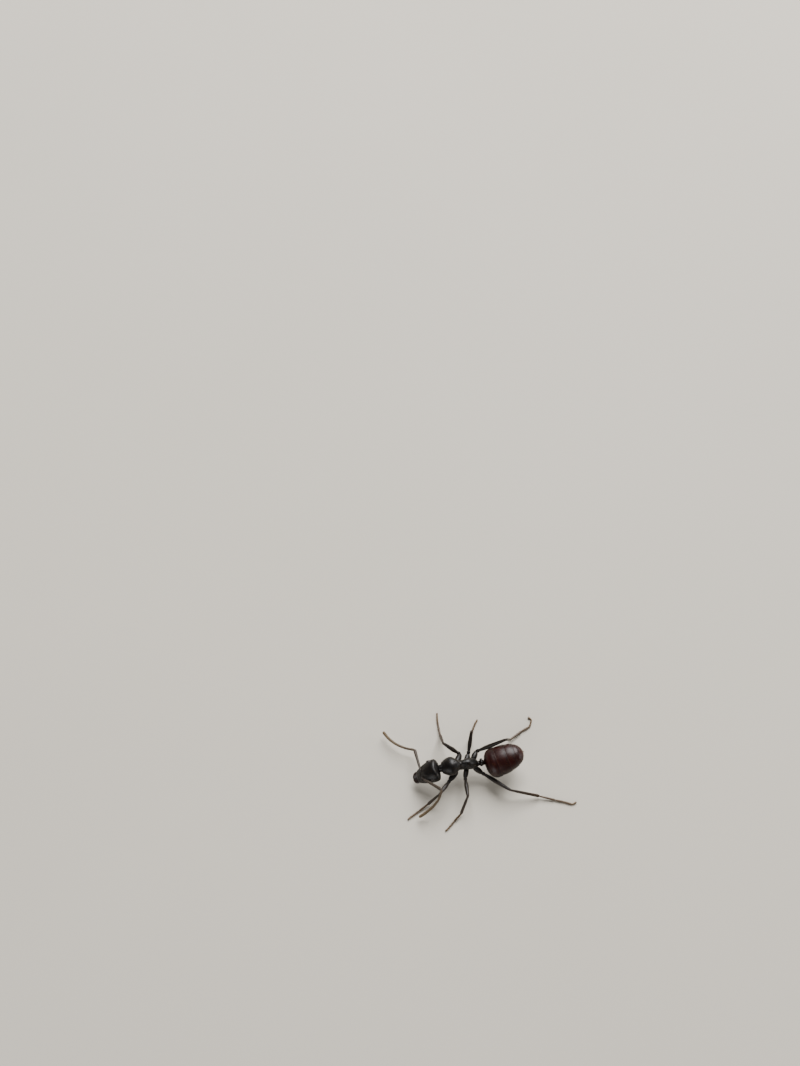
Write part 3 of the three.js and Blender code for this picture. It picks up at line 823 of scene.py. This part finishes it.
def propodeumRelief(s, height, points):
    # an oval breathing hole high on each side, a gland's swelling low behind it, and a low step
    toHole = spotDistance(points, *trunkSpots["hole"])
    toGland = spotDistance(points, *trunkSpots["gland"])
    hole = form(toHole, trunkForms["holeRim"]) + form(toHole, trunkForms["hole"])
    gland = form(toGland, trunkForms["gland"]) + form(toGland, trunkForms["glandGroove"])
    groove = form(height - 1.5 * (s - 0.8), trunkForms["hindGroove"])
    return hole + gland + groove + form(s, trunkForms["backStep"]) * ramp(height, 0.2, 0.6)


plates = {  # name: from, to, rows, columns, relief
    "pronotum": (0.0, 0.44, 110, 230, pronotumRelief),
    "mesothorax": (0.44, 0.66, 70, 190, mesothoraxRelief),
    "propodeum": (0.66, 1.0, 90, 200, propodeumRelief),
}
trunkGrids = []
for name, (start, end, rows, columns, relief) in plates.items():
    grid, s, height = platedGrid(trunkPoint, start, end, rows, columns, relief, trunk)
    trunkGrids.append(grid[leadRows + 2 if start else 4:-5])
    # painted shade: darker where each plate runs in under the one before it and on its inturned hind lip
    edge = hump(s - start, 0.012) * (start > 0) + ramp(s, end - 0.008, end) * (end < 1)
    shape = closedShape(grid, 0.5 * ramp(-height, 0.6, 1), np.clip(edge, 0, 1))
    addPiece(f"{name}_plate", shape, blackCuticle, "shell", name)

print("waist and gaster")

waist = {
    "length": 0.63,
    "halfWidths": (0.27, 0.42),  # of the stalk and of the scale
    "tops": (0.17, 0.71),
    "bottom": -0.23,
    "crest": (0.45, 0.28),  # where the scale stands, and half its thickness, as shares of the length
    "reach": (-0.2, 1.25),  # it runs on into the trunk and the gaster
    "holeSpot": (0.2, 0.05),
    "holeRim": (0.04, 0.015, 0.018),
    "hole": (0, -0.02, 0.03),
    "grid": (110, 120),
}


def waistGrid():
    # a short stalk with one upright scale: the ellipse grows where exp(-(distance to the scale / half
    # its thickness) to the power 4) does, and its top edge is slightly notched
    rows, columns = waist["grid"]
    s = np.linspace(*waist["reach"], rows)[:, None]
    a = turnedCircle(columns)[None, :]
    where, halfThickness = waist["crest"]
    scale = np.exp(-((s - where) / halfThickness) ** 4)
    narrow, wide = waist["halfWidths"]
    low, high = waist["tops"]
    x = (narrow + (wide - narrow) * scale) * np.cos(a)
    top = low + (high - low) * scale - 0.03 * scale * hump(x, 0.1)
    bottom = waist["bottom"] - 0.05 * hump(s - 0.4, 0.3)
    points = pointGrid(x, s * waist["length"], (top + bottom) / 2 + (top - bottom) / 2 * np.sin(a))
    toHole = np.linalg.norm(points[..., 1:] - waist["holeSpot"], axis=-1)
    relief = form(toHole, waist["holeRim"]) + form(toHole, waist["hole"])
    return raised(points, relief) + body["waist"], scale


waistPoints, crest = waistGrid()
addPiece("waist_scale", closedShape(waistPoints, 0.25 * (1 - crest)), blackCuticle, "shell", "petiole")

gaster = {
    "length": 4.35,
    "halfWidth": 1.65,
    "top": 1.28,
    "bottom": 1.08,
    "ends": (0.26, 0.74, 2.3),  # shares of the length that are rounded off, and how bluntly
    "cuts": [0, 0.33, 0.6, 0.8, 0.93, 1],
    "rimStep": 0.03,  # how much wider a plate is at its hind rim, as a share
    "swell": 0.02,
    "bellyEdge": -0.42,  # where the belly plate is tucked in, from -1 at the belly to 1 at the back
    "bellyStep": 0.024,
    "bellyGroove": (-0.45, -0.03, 0.03),
    "hindRise": 0.006,
    "tuck": 0.03,
    "lip": [(0.0015, 0.990), (0.001, 0.978), (-0.002, 0.962), (-0.012, 0.93)],
    "rows": [120, 90, 70, 50, 40],
    "columns": 240,
}


def inGaster(points):
    # from the gaster's own frame into the body's
    return placed(points, body["gasterPitch"], body["gasterYaw"], body["gasterRoot"])


def gasterPoint(start, end):
    # an egg blunt in front and drawn out behind, each plate of it slightly wider at its hind rim
    def point(s, a, scale=1.0):
        share = np.clip((end - s) / (end - start), 0, 1)
        rim = 1 - gaster["rimStep"] * (share if end < 1 else 1)
        half = roundEnds(np.clip(s, 0, 1), *gaster["ends"]) * rim * scale
        middle = (gaster["top"] - gaster["bottom"]) / 2
        z = half * (middle + (gaster["top"] + gaster["bottom"]) / 2 * np.sin(a))
        return pointGrid(gaster["halfWidth"] * half * np.cos(a), s * gaster["length"], z)

    return point


def gasterRelief(start, end):
    # swollen between the rims, with the belly plate's edge tucked under the back plate's, low on
    # each side
    def relief(s, height, points):
        t = np.clip((s - start) / (end - start), 0, 1)
        swell = gaster["swell"] * np.sin(np.pi * t) * (end < 1) + gaster["hindRise"] * ramp(t, 0.9, 0.94)
        step = gaster["bellyStep"] * ramp(gaster["bellyEdge"] - height, 0, 0.05)
        return swell - step + form(height, gaster["bellyGroove"])

    return relief


gasterGrids = []
for i, (start, end) in enumerate(zip(gaster["cuts"][:-1], gaster["cuts"][1:])):
    grid, s, height = platedGrid(
        gasterPoint(start, end), start, end, gaster["rows"][i], gaster["columns"],
        gasterRelief(start, end), gaster)
    points = inGaster(grid)
    gasterGrids.append(points[leadRows + 2 if start else 6:-5])
    rim = ramp(s, end - 0.011, end - 0.006) * (end < 1)
    # band, flank and front darken the plates, partly the cuticle's own tone and partly painted shade: a
    # band before each hind rim, all but the top, and the front end by the waist
    band = hump(s - (end - 0.03), 0.022) * (end < 1)
    pale = 0.17 * rim + 0.1 * ramp(-height, 0.36, 0.5) * (1 - rim) + 0.35 * ramp(s, 0.95, 0.99)
    flank = 0.85 * ramp(0.55 - height, 0, 0.6)
    front = 0.8 * ramp(0.1 - s, 0, 0.1)
    shape = closedShape(points, pale, np.clip(0.45 * band + flank + front - 0.5 * rim, 0, 1))
    addPiece(f"gaster_plate_{i + 1}", shape, gasterCuticle, "gaster", f"gaster_{i + 1}")

nozzle = {  # from inside the gaster to beyond its tip
    "back": 0.16,
    "beyond": 0.04,
    "radii": [[0, 0.13], [0.5, 0.085], [1, 0.055]],
    "grid": (24, 32),
}
nozzleCourse = np.array([(0, -nozzle["back"], 0), (0, 0, -0.01), (0, nozzle["beyond"], -0.03)])
nozzlePath = bentPath(inGaster(nozzleCourse + (0, gaster["length"], 0)), [0.03])
nozzleTube = limbGrid(
    nozzlePath, 0, nozzlePath["joints"][-1], nozzle["radii"], *nozzle["grid"], (0.04, 0.2))
addPiece("acid_nozzle", closedShape(nozzleTube, 0.4), gasterCuticle, "gaster")

print("legs")

pairs = {  # hip from the trunk's middle line, and the lengths of coxa, femur, tibia and tarsus
    "front": ((0.35, -1.25, 2), 1.38, 2.25, 2.5, 2.86),
    "middle": ((0.3, -0.2, 2), 1.1, 2.55, 2.5, 2.58),
    "hind": ((0.32, 0.55, 2), 1.2, 3.65, 3.43, 4.28),
}
# Each leg's pair and side, then the headings of coxa, femur, tibia and the parts of the foot in degrees,
# 0 straight out and 90 straight back. Coxa and femur also have the height at which they end.
stance = [
    ("front", 1, (-47, 1.72), (-42, 2.56), -80, [-64, -64, -64, -57]),
    ("front", -1, (32, 1.55), (-52, 2.36), 1, [0, 2, 7, 12]),
    ("middle", 1, (-20, 1.4), (-5, 2.4), -37, [-54, -50, -50, -66]),
    ("middle", -1, (27, 1.75), (19, 2.92), 9, [23, 30, 36, 45]),
    ("hind", 1, (54, 1.35), (46, 1.65), 75, [68, 68, 63, 112]),
    ("hind", -1, (31, 1.95), (86, 3.62), 42, [61, 70, 27, -45]),
]
leg = {
    "footShares": [0.42, 0.24, 0.2, 0.14],
    "ankle": 0.42,  # its height in the solids, and below it that of a foot's middle line
    "sole": 0.245,
    "drop": [0.02, 0.09, 0.11, 0.12, 0.12],  # real feet are thinner, so their middle lines lie lower
    "fillets": [0.2, 0.16, 0.16, 0.2, 0.2, 0.2],
    "coxa": {"front": [[0, 0.26], [0.3, 0.36], [0.55, 0.36], [0.82, 0.29], [1, 0.2]],
             "middle": [[0, 0.22], [0.3, 0.3], [0.55, 0.3], [0.82, 0.26], [1, 0.19]],
             "hind": [[0, 0.24], [0.3, 0.32], [0.55, 0.33], [0.82, 0.27], [1, 0.2]]},
    "trochanter": [[0, 0.15], [0.3, 0.2], [0.7, 0.205], [1, 0.16]],
    "femur": [[0, 0.15], [0.1, 0.195], [0.32, 0.25], [0.62, 0.225], [0.88, 0.175], [1, 0.155]],
    "tibia": [[0, 0.10], [0.05, 0.14], [0.1, 0.125], [0.25, 0.15], [0.75, 0.17], [0.93, 0.175],
              [1, 0.14]],
    "spur": {"front": 0.42, "middle": 0.34, "hind": 0.34},
    "spurRadius": 0.03,
    "tarsomeres": [0, 0.43, 0.62, 0.76, 0.86, 1.0],
    "tarsomere": [[0, 0.66], [0.12, 0.84], [0.8, 1.0], [1, 0.96]],  # shares of its radius
    "tarsusRadius": [0.12, 0.1128, 0.108, 0.1056, 0.096],
    "tarsusRows": [34, 22, 22, 22, 22],
    "tarsusColumns": 28,
    "clawReach": 0.15,  # left for the claws at the end of the foot
    "lowest": 0.004,  # no point is nearer to the floor
}

# Two claws to a foot, and between them the pad, from before the foot's end to past it.
claw = {"back": 0.06, "apart": 0.035, "above": 0.02, "length": 0.2, "radius": 0.03}
pad = {"from": -0.08, "to": 0.05, "radii": [[0, 0.05], [1, 0.06]], "grid": (10, 16)}

legTubes = {  # from which joint to which and how far past each, rows, columns, round ends, narrowness
    "coxa": ("hip", 0, "coxaEnd", 0.06, 50, 60, (0.2, 0.12), 0.95),
    "trochanter": ("coxaEnd", -0.04, "coxaEnd", 0.38, 26, 40, (0.2, 0.2), 1.0),
    "femur": ("coxaEnd", 0.28, "knee", 0.06, 90, 52, (0.03, 0.035), 0.92),
    "tibia": ("knee", -0.06, "ankle", 0.05, 80, 44, (0.03, 0.05), 0.95),
}


def stepFrom(start, length, side, heading, height):
    # the next corner: a step of this length that ends at this height, so its level part is the square
    # root of length squared less rise squared
    rise = height - start[2]
    level = np.sqrt(length ** 2 - rise ** 2)
    turn = np.radians(heading)
    return np.array([start[0] + side * level * np.cos(turn), start[1] + level * np.sin(turn), height])


def legPath(pair, side, coxaPose, femurPose, tibiaHeading, tarsusHeadings):
    # hip, end of the coxa, knee, ankle, then the corners of the foot, which lies on the floor
    hip, coxa, femur, tibia, tarsus = pairs[pair]
    steps = [(coxa, *coxaPose), (femur, *femurPose), (tibia, tibiaHeading, leg["ankle"])]
    for share, heading in zip(leg["footShares"], tarsusHeadings):
        steps.append((tarsus * share, heading, leg["sole"]))
    corners = [(side, 1, 1) * np.array(hip) + (body["trunkStart"][0], 0, 0)]
    for length, heading, height in steps:
        corners.append(stepFrom(corners[-1], length, side, heading, height))
    corners = np.array(corners)
    corners[3:, 2] -= leg["drop"]
    return bentPath(corners, leg["fillets"])


def onFloor(points):
    # the points with low ones lifted, so that nothing goes below the floor
    return np.concatenate([points[..., :2], np.maximum(points[..., 2:], leg["lowest"])], axis=-1)


def legGrids(path, pair):
    # the leg's tubes, each carried between two joints
    radii = dict(leg, coxa=leg["coxa"][pair])
    joints = dict(zip(("coxaEnd", "knee", "ankle"), path["joints"]), hip=0)
    return [
        limbGrid(path, joints[first] + pastFirst, joints[last] + pastLast, radii[name], *look)
        for name, (first, pastFirst, last, pastLast, *look) in legTubes.items()]


def clawShapes(path, tip):
    # two hooks at the end of a foot, parted sideways and turned down to the floor, round a soft pad
    centre, ahead, side, _ = (v[0] for v in pathFrame(path, np.array([tip])))
    ahead = unit(ahead * (1, 1, 0))
    shapes = []
    for way in (side, -side):
        start = centre - claw["back"] * ahead + claw["apart"] * way + claw["above"] * upward
        out, bend = ahead + 0.9 * way + 0.25 * upward, -0.55 * upward - 0.5 * way
        hook = onFloor(curvedSpike(start, out, bend, claw["length"], claw["radius"]))
        shapes.append(closedShape(hook, 0.0, np.linspace(0.3, 1, len(hook))[:, None]))
    cushion = limbGrid(path, tip + pad["from"], tip + pad["to"], pad["radii"], *pad["grid"], (0.3, 0.5))
    return [*shapes, closedShape(onFloor(cushion), 0.6)]


def footGrids(path, ankle, tip):
    # five parts end to end from ankle to claws, each running a little into its neighbours
    edges = ankle + (tip - ankle) * np.array(leg["tarsomeres"])
    grids = []
    for start, end, radius, rows in zip(edges[:-1], edges[1:], leg["tarsusRadius"], leg["tarsusRows"]):
        table = np.array(leg["tarsomere"]) * (1, radius)
        grids.append(onFloor(limbGrid(
            path, start - 0.02, end + 0.03, table, rows, leg["tarsusColumns"], (0.08, 0.10))))
    return grids


legPatches = []
for pair, side, *pose in stance:
    where = f"{pair}_{'left' if side > 0 else 'right'}"
    path = legPath(pair, side, *pose)
    ankle, tip = path["joints"][2], path["joints"][-1] - leg["clawReach"]
    coxa, trochanter, femur, tibia = legGrids(path, pair)
    addPiece(f"coxa_{where}_shell", closedShape(coxa, 0.0, 0.7), legCuticle, "leg", f"coxa_{where}")

    t = easedShares(len(femur))[:, None]
    paleThigh = 0.15 * ramp(0.12 - t, 0, 0.12) + 0.2 * ramp(t, 0.85, 1)
    thigh = [closedShape(trochanter, 0.0, 0.6), closedShape(femur, paleThigh, 0.4 * ramp(0.6 - t, 0, 0.6))]
    addPiece(f"femur_{where}_shell", joined(thigh), legCuticle, "leg", f"femur_{where}")

    centre, ahead, _, up = (v[0] for v in pathFrame(path, np.array([ankle - 0.08])))
    spur = curvedSpike(
        centre - up * 0.12, ahead - 0.45 * up, 0.3 * up, leg["spur"][pair], leg["spurRadius"])
    paleShin = 0.1 + 0.4 * easedShares(len(tibia))[:, None]
    shin = [closedShape(tibia, paleShin), closedShape(spur, 0.6)]
    addPiece(f"tibia_{where}_shell", joined(shin), legCuticle, "leg", f"tibia_{where}")

    foot = footGrids(path, ankle, tip)
    shapes = [closedShape(grid, 0.1 * k, 0.7 * hump(easedShares(len(grid))[:, None] - 1, 0.06))
              for k, grid in enumerate(foot)]
    addPiece(f"tarsus_{where}_shell", joined(shapes), footCuticle, "foot", f"tarsus_{where}")
    addPiece(f"claws_{where}", joined(clawShapes(path, tip)), footCuticle, "foot")
    legPatches.append([
        {"grid": coxa[12:-6], "size": (0.8, 0.8)},
        {"grid": femur[3:-3], "size": (1.0, 0.6)},
        {"grid": tibia[3:-3], "size": (0.6, 1.0)},
        *({"grid": grid[2:-2], "size": (0.8 - 0.06 * k, 0.7 - 0.06 * k)} for k, grid in enumerate(foot))])

print("feelers")

feeler = {
    "scapeLength": 2.75,
    "funiculusLength": 4.3,
    "socketHeight": 0.42,
    "ball": 0.12,  # radius of the ball by which the scape turns in its pit
    "fillets": [0.2, 0.4, 0.4, 0.4],
    "scape": [[0, 0.08], [0.06, 0.078], [0.14, 0.12], [0.5, 0.145], [0.9, 0.175], [1, 0.165]],
    "firstSegment": 0.115,  # share of the funiculus; the other ten share the rest
    "segments": 11,
    "segmentRadius": [[0, 0.14], [0.15, 0.135], [0.6, 0.155], [0.95, 0.17], [1, 0.16]],
    "segment": [[0, 0.82], [0.2, 0.92], [0.75, 1], [1, 0.96]],  # shares of its radius
    "overlap": 0.015,
    "scapeGrid": (80, 40),
    "knobGrid": (28, 40),
    "segmentGrid": (26, 32),
    "reach": [
        {"side": 1, "scape": 42, "elbow": 3.15, "bends": [-28, -54, -68, -76], "tip": 0.6},
        {"side": -1, "scape": -3, "elbow": 1.2, "bends": [-68, -55, -41, -26], "tip": 0.9},
    ],
}


def feelerPath(pose):
    # from inside its pit along the straight scape to the elbow, then round the funiculus's bends
    side, bends = pose["side"], pose["bends"]
    root = inHead(fromMargin((side * head["socket"][0], head["socket"][1], feeler["socketHeight"])))
    elbow = stepFrom(root, feeler["scapeLength"], side, pose["scape"], pose["elbow"])
    corners = [root - 1.5 * feeler["ball"] * unit(elbow - root), elbow]
    for k, heading in enumerate(bends):
        height = pose["elbow"] + (pose["tip"] - pose["elbow"]) * (k + 1) / len(bends)
        corners.append(stepFrom(corners[-1], feeler["funiculusLength"] / len(bends), side, heading, height))
    return bentPath(corners, feeler["fillets"])


def segmentGrids(path, elbow, tip):
    # eleven parts end to end, each wider towards its far end, the last one rounded off
    first = feeler["firstSegment"]
    shares = np.concatenate([[0, first], np.linspace(first, 1, feeler["segments"])[1:]])
    overlap = feeler["overlap"]
    grids = []
    for start, end in zip(shares[:-1], shares[1:]):
        table = np.array(feeler["segment"]) * (1, along(feeler["segmentRadius"], (start + end) / 2))
        past, last = (0, 0.5) if end == 1 else (overlap, 0.1)
        start, end = elbow + (tip - elbow) * np.array([start, end])
        grids.append(limbGrid(
            path, start - overlap, end + past, table, *feeler["segmentGrid"], (0.08, last)))
    return grids


feelerPatches = []
for pose in feeler["reach"]:
    where = "left" if pose["side"] > 0 else "right"
    path = feelerPath(pose)
    elbow, tip = path["joints"][0], path["joints"][-1] - 0.02
    ball = feeler["ball"]
    shaft = limbGrid(path, 1.5 * ball, elbow + 0.04, feeler["scape"], *feeler["scapeGrid"], (0.03, 0.03))
    knob = limbGrid(path, 0, 2 * ball, [[0, ball], [1, ball]], *feeler["knobGrid"], (0.5, 0.5))
    darkShaft = 0.75 - 0.35 * easedShares(len(shaft))[:, None]
    scape = joined([closedShape(shaft, 0.0, darkShaft), closedShape(knob, 0.0, 0.8)])
    addPiece(f"scape_{where}_shell", scape, feelerCuticle, "feeler", f"scape_{where}")

    lash = segmentGrids(path, elbow, tip)
    darkJoint = 0.5 * hump(easedShares(len(lash[0]))[:, None], 0.08)
    funiculus = joined([closedShape(grid, 0.05 + 0.06 * k, darkJoint) for k, grid in enumerate(lash)])
    addPiece(f"funiculus_{where}_shell", funiculus, feelerCuticle, "feeler", f"funiculus_{where}")
    grids = [shaft[8:-3], *(grid[2:-2] for grid in lash)]
    feelerPatches.extend({"grid": grid, "size": (1.0, 1.0)} for grid in grids)

print("hairs")

rootDepth = 0.006  # hairs start this far under the surface
unwrapPatch = 0.003  # side of a hair's patch on the unwrap


def scattered(grid, perSquare, weight, draw):
    # roots drawn at random over a grid: each cell is as likely as its area times its weight, and a root
    # lies anywhere in its cell, between the four corners
    corner = grid[:-1]
    below, beside = grid[1:], np.roll(grid, -1, axis=1)[:-1]
    across = np.roll(grid, -1, axis=1)[1:]
    area = np.linalg.norm(np.cross(below - corner, beside - corner), axis=-1) * weight
    chosen = draw.choice(area.size, int(area.sum() * perSquare), p=(area / area.sum()).ravel())
    row, column = np.divmod(chosen, grid.shape[1])
    u, v = draw.random((2, len(chosen), 1))
    roots = (1 - v) * ((1 - u) * corner[row, column] + u * beside[row, column]) \
        + v * ((1 - u) * below[row, column] + u * across[row, column])
    lays = unit(below[row, column] - corner[row, column])
    spots = np.concatenate([(column[:, None] + u) / grid.shape[1], (row[:, None] + v) / len(grid)], axis=1)
    return roots, gridNormals(grid)[row, column], lays, spots


def hairShape(roots, ahead, bend, length, radius, spots):
    # every hair a three-sided spike along a parabola from its root: three rings and a point. On the
    # unwrap a hair is a small patch where its root lies.
    t = np.array([0, 0.35, 0.75])[None, :, None]
    turn = np.arange(3) * 2 * np.pi / 3
    count = len(roots)
    stretch = length[:, None, None]
    centre = roots[:, None] + stretch * (ahead[:, None] * t + bend[:, None] * t ** 2)
    tangent = unit(ahead[:, None] + 2 * bend[:, None] * t)
    side = unit(np.cross(tangent, np.array([0.31, 0.17, 0.94])))
    up = np.cross(side, tangent)
    r = radius * (1 - 0.75 * t)[..., None] * np.minimum(1.3, 0.7 + 0.3 * stretch / length.mean())[..., None]
    rings = centre[:, :, None] + r * (
        side[:, :, None] * np.cos(turn)[:, None] + up[:, :, None] * np.sin(turn)[:, None])
    tips = roots + length[:, None] * (ahead + bend)
    points = np.concatenate([rings.reshape(count, 9, 3), tips[:, None]], axis=1)
    ring = np.array([[k, k + 3, (k + 1) % 3 + 3, (k + 1) % 3] for k in range(3)])
    quads = np.concatenate([ring, ring + 3])
    triangles = np.array([[0, 1, 2], [9, 7, 6], [9, 8, 7], [9, 6, 8]])
    starts = np.arange(count)[:, None, None] * 10
    share = np.append(np.repeat(t.ravel(), 3), 1.0)
    sideways = np.append(np.tile([0.0, 0.5, 1.0], 3), 0.5)
    patch = unwrapPatch * (np.stack([sideways, share], axis=-1) - 0.5)
    return {
        "points": points.reshape(-1, 3),
        "quads": (starts + quads).reshape(-1, 4),
        "triangles": (starts + triangles).reshape(-1, 3),
        "pale": np.tile(share, count),
        "dark": np.zeros(count * 10),
        "unwrap": (spots[:, None] + patch).reshape(-1, 2),
    }


def coat(patches, look, seed):
    # hairs over grids, each leaning from its normal towards the grid's hind end. A grid has its own
    # strip of the unwrap, and "size" makes its hairs shorter or longer from its first row to its last.
    perSquare, lengths, radius, lifts, spread, curve = look
    draw = np.random.default_rng(seed)
    shapes = []
    for k, patch in enumerate(patches):
        weight = patch.get("weight", np.ones(patch["grid"].shape[:2]))[:-1]
        roots, normals, lays, spots = scattered(patch["grid"], perSquare, weight, draw)
        count = len(roots)
        turn = np.radians(draw.normal(0, spread, count))[:, None]
        lift = np.radians(draw.uniform(*lifts, count))[:, None]
        lay = lays * np.cos(turn) + np.cross(normals, lays) * np.sin(turn)
        ahead = normals * np.sin(lift) + lay * np.cos(lift)
        length = np.interp(spots[:, 1], [0, 1], patch["size"]) * draw.uniform(*lengths, count)
        spots[:, 1] = (k + 0.01 + 0.98 * spots[:, 1]) / len(patches)
        roots = roots - rootDepth * normals
        shapes.append(hairShape(roots, ahead, curve * (lay - normals), length, radius, spots))
    return joined(shapes)


hairs = {  # count on a square millimetre, length, radius, lift and turn in degrees, bend
    "down": (60, (0.06, 0.11), 0.0035, (8, 20), 16, 0.08),
    "sparse": (3.2, (0.14, 0.3), 0.006, (50, 80), 30, 0.12),
    "gasterDown": (75, (0.08, 0.14), 0.0035, (6, 15), 10, 0.06),
    "gasterSetae": (4.5, (0.16, 0.32), 0.006, (25, 45), 15, 0.1),
    "limbDown": (85, (0.06, 0.11), 0.0035, (14, 28), 10, 0.06),
    "bristles": (7, (0.12, 0.18), 0.006, (35, 50), 10, 0.06),
    "velvet": (330, (0.04, 0.07), 0.003, (25, 40), 12, 0.08),
}


def topSides(grid, lowest):
    # 1 where a grid's normal looks up, falling to 0 where it looks sideways or down
    return ramp(gridNormals(grid)[..., 2], lowest, lowest + 0.3)


def towardsRim(grid):
    # a weight of a quarter at a grid's first row, growing by the cube of the share towards its last
    return 0.25 + np.linspace(0, 1, len(grid))[:, None] ** 3 * np.ones(grid.shape[:2])


headGridPart, hairyPart = headPoints[3:-12], headHairy[3:-12]
headPatch = {"grid": headGridPart, "size": (0.55, 1.0), "weight": hairyPart}
headTop = dict(headPatch, weight=hairyPart * topSides(headGridPart, 0.1))
jawPatches = [{"grid": grid[10:-20], "size": (0.6, 0.5)} for grid in jawGrids]
trunkPatches = [{"grid": grid, "size": (1.0, 1.0)} for grid in [*trunkGrids, waistPoints[20:-20]]]
trunkTops = [dict(patch, weight=topSides(patch["grid"], 0.2)) for patch in trunkPatches]
gasterPatches = [{"grid": grid, "size": (0.9, 1.0)} for grid in gasterGrids]
gasterRims = [dict(patch, weight=towardsRim(patch["grid"])) for patch in gasterPatches]
wholeLegs = [patch for patches in legPatches for patch in patches]
shinsAndFeet = [patch for patches in legPatches for patch in patches[2:]]

coats = {  # piece: its material, its slot, and the patches, hairs and seed of each layer
    "head_hairs": (bodyHair, "shell", [
        ([headPatch], "down", 11), ([headTop], "sparse", 12), (jawPatches, "down", 13)]),
    "trunk_hairs": (bodyHair, "shell", [(trunkPatches, "down", 21), (trunkTops, "sparse", 22)]),
    "gaster_hairs": (bodyHair, "gaster", [
        (gasterPatches, "gasterDown", 31), (gasterRims, "gasterSetae", 32)]),
    "leg_hairs": (limbHair, "leg", [(wholeLegs, "limbDown", 41), (shinsAndFeet, "bristles", 42)]),
    "feeler_hairs": (limbHair, "feeler", [(feelerPatches, "velvet", 51)]),
}
for name, (material, slot, layers) in coats.items():
    shape = joined([coat(patches, hairs[kind], seed) for patches, kind, seed in layers])
    addPiece(name, dict(shape, points=onFloor(shape["points"])), material, slot)

fringe = {
    "count": 26,
    "length": 0.12,
    "radius": 0.005,
    "ring": 0.052,
    "root": (0.02, -0.02),  # how far past the gaster's end, and its height
}


def fringeShape():
    # stiff hairs in a ring round the nozzle's mouth, each leaning a little outwards
    count = fringe["count"]
    turn = turnedCircle(count)
    out = pointGrid(np.cos(turn), 0, np.sin(turn))
    beyond, height = fringe["root"]
    roots = inGaster(np.array([0, gaster["length"] + beyond, height]) + fringe["ring"] * out)
    ahead = placed(unit(0.3 * out + np.array([0, 1, 0])), body["gasterPitch"], body["gasterYaw"])
    bend = 0.05 * placed(out, body["gasterPitch"], body["gasterYaw"])
    spots = np.stack([0.02 + 0.96 * turn / (2 * np.pi), np.full(count, 0.5)], axis=-1)
    return hairShape(roots, ahead, bend, np.full(count, fringe["length"]), fringe["radius"], spots)


addPiece("nozzle_fringe", fringeShape(), bodyHair, "gaster")
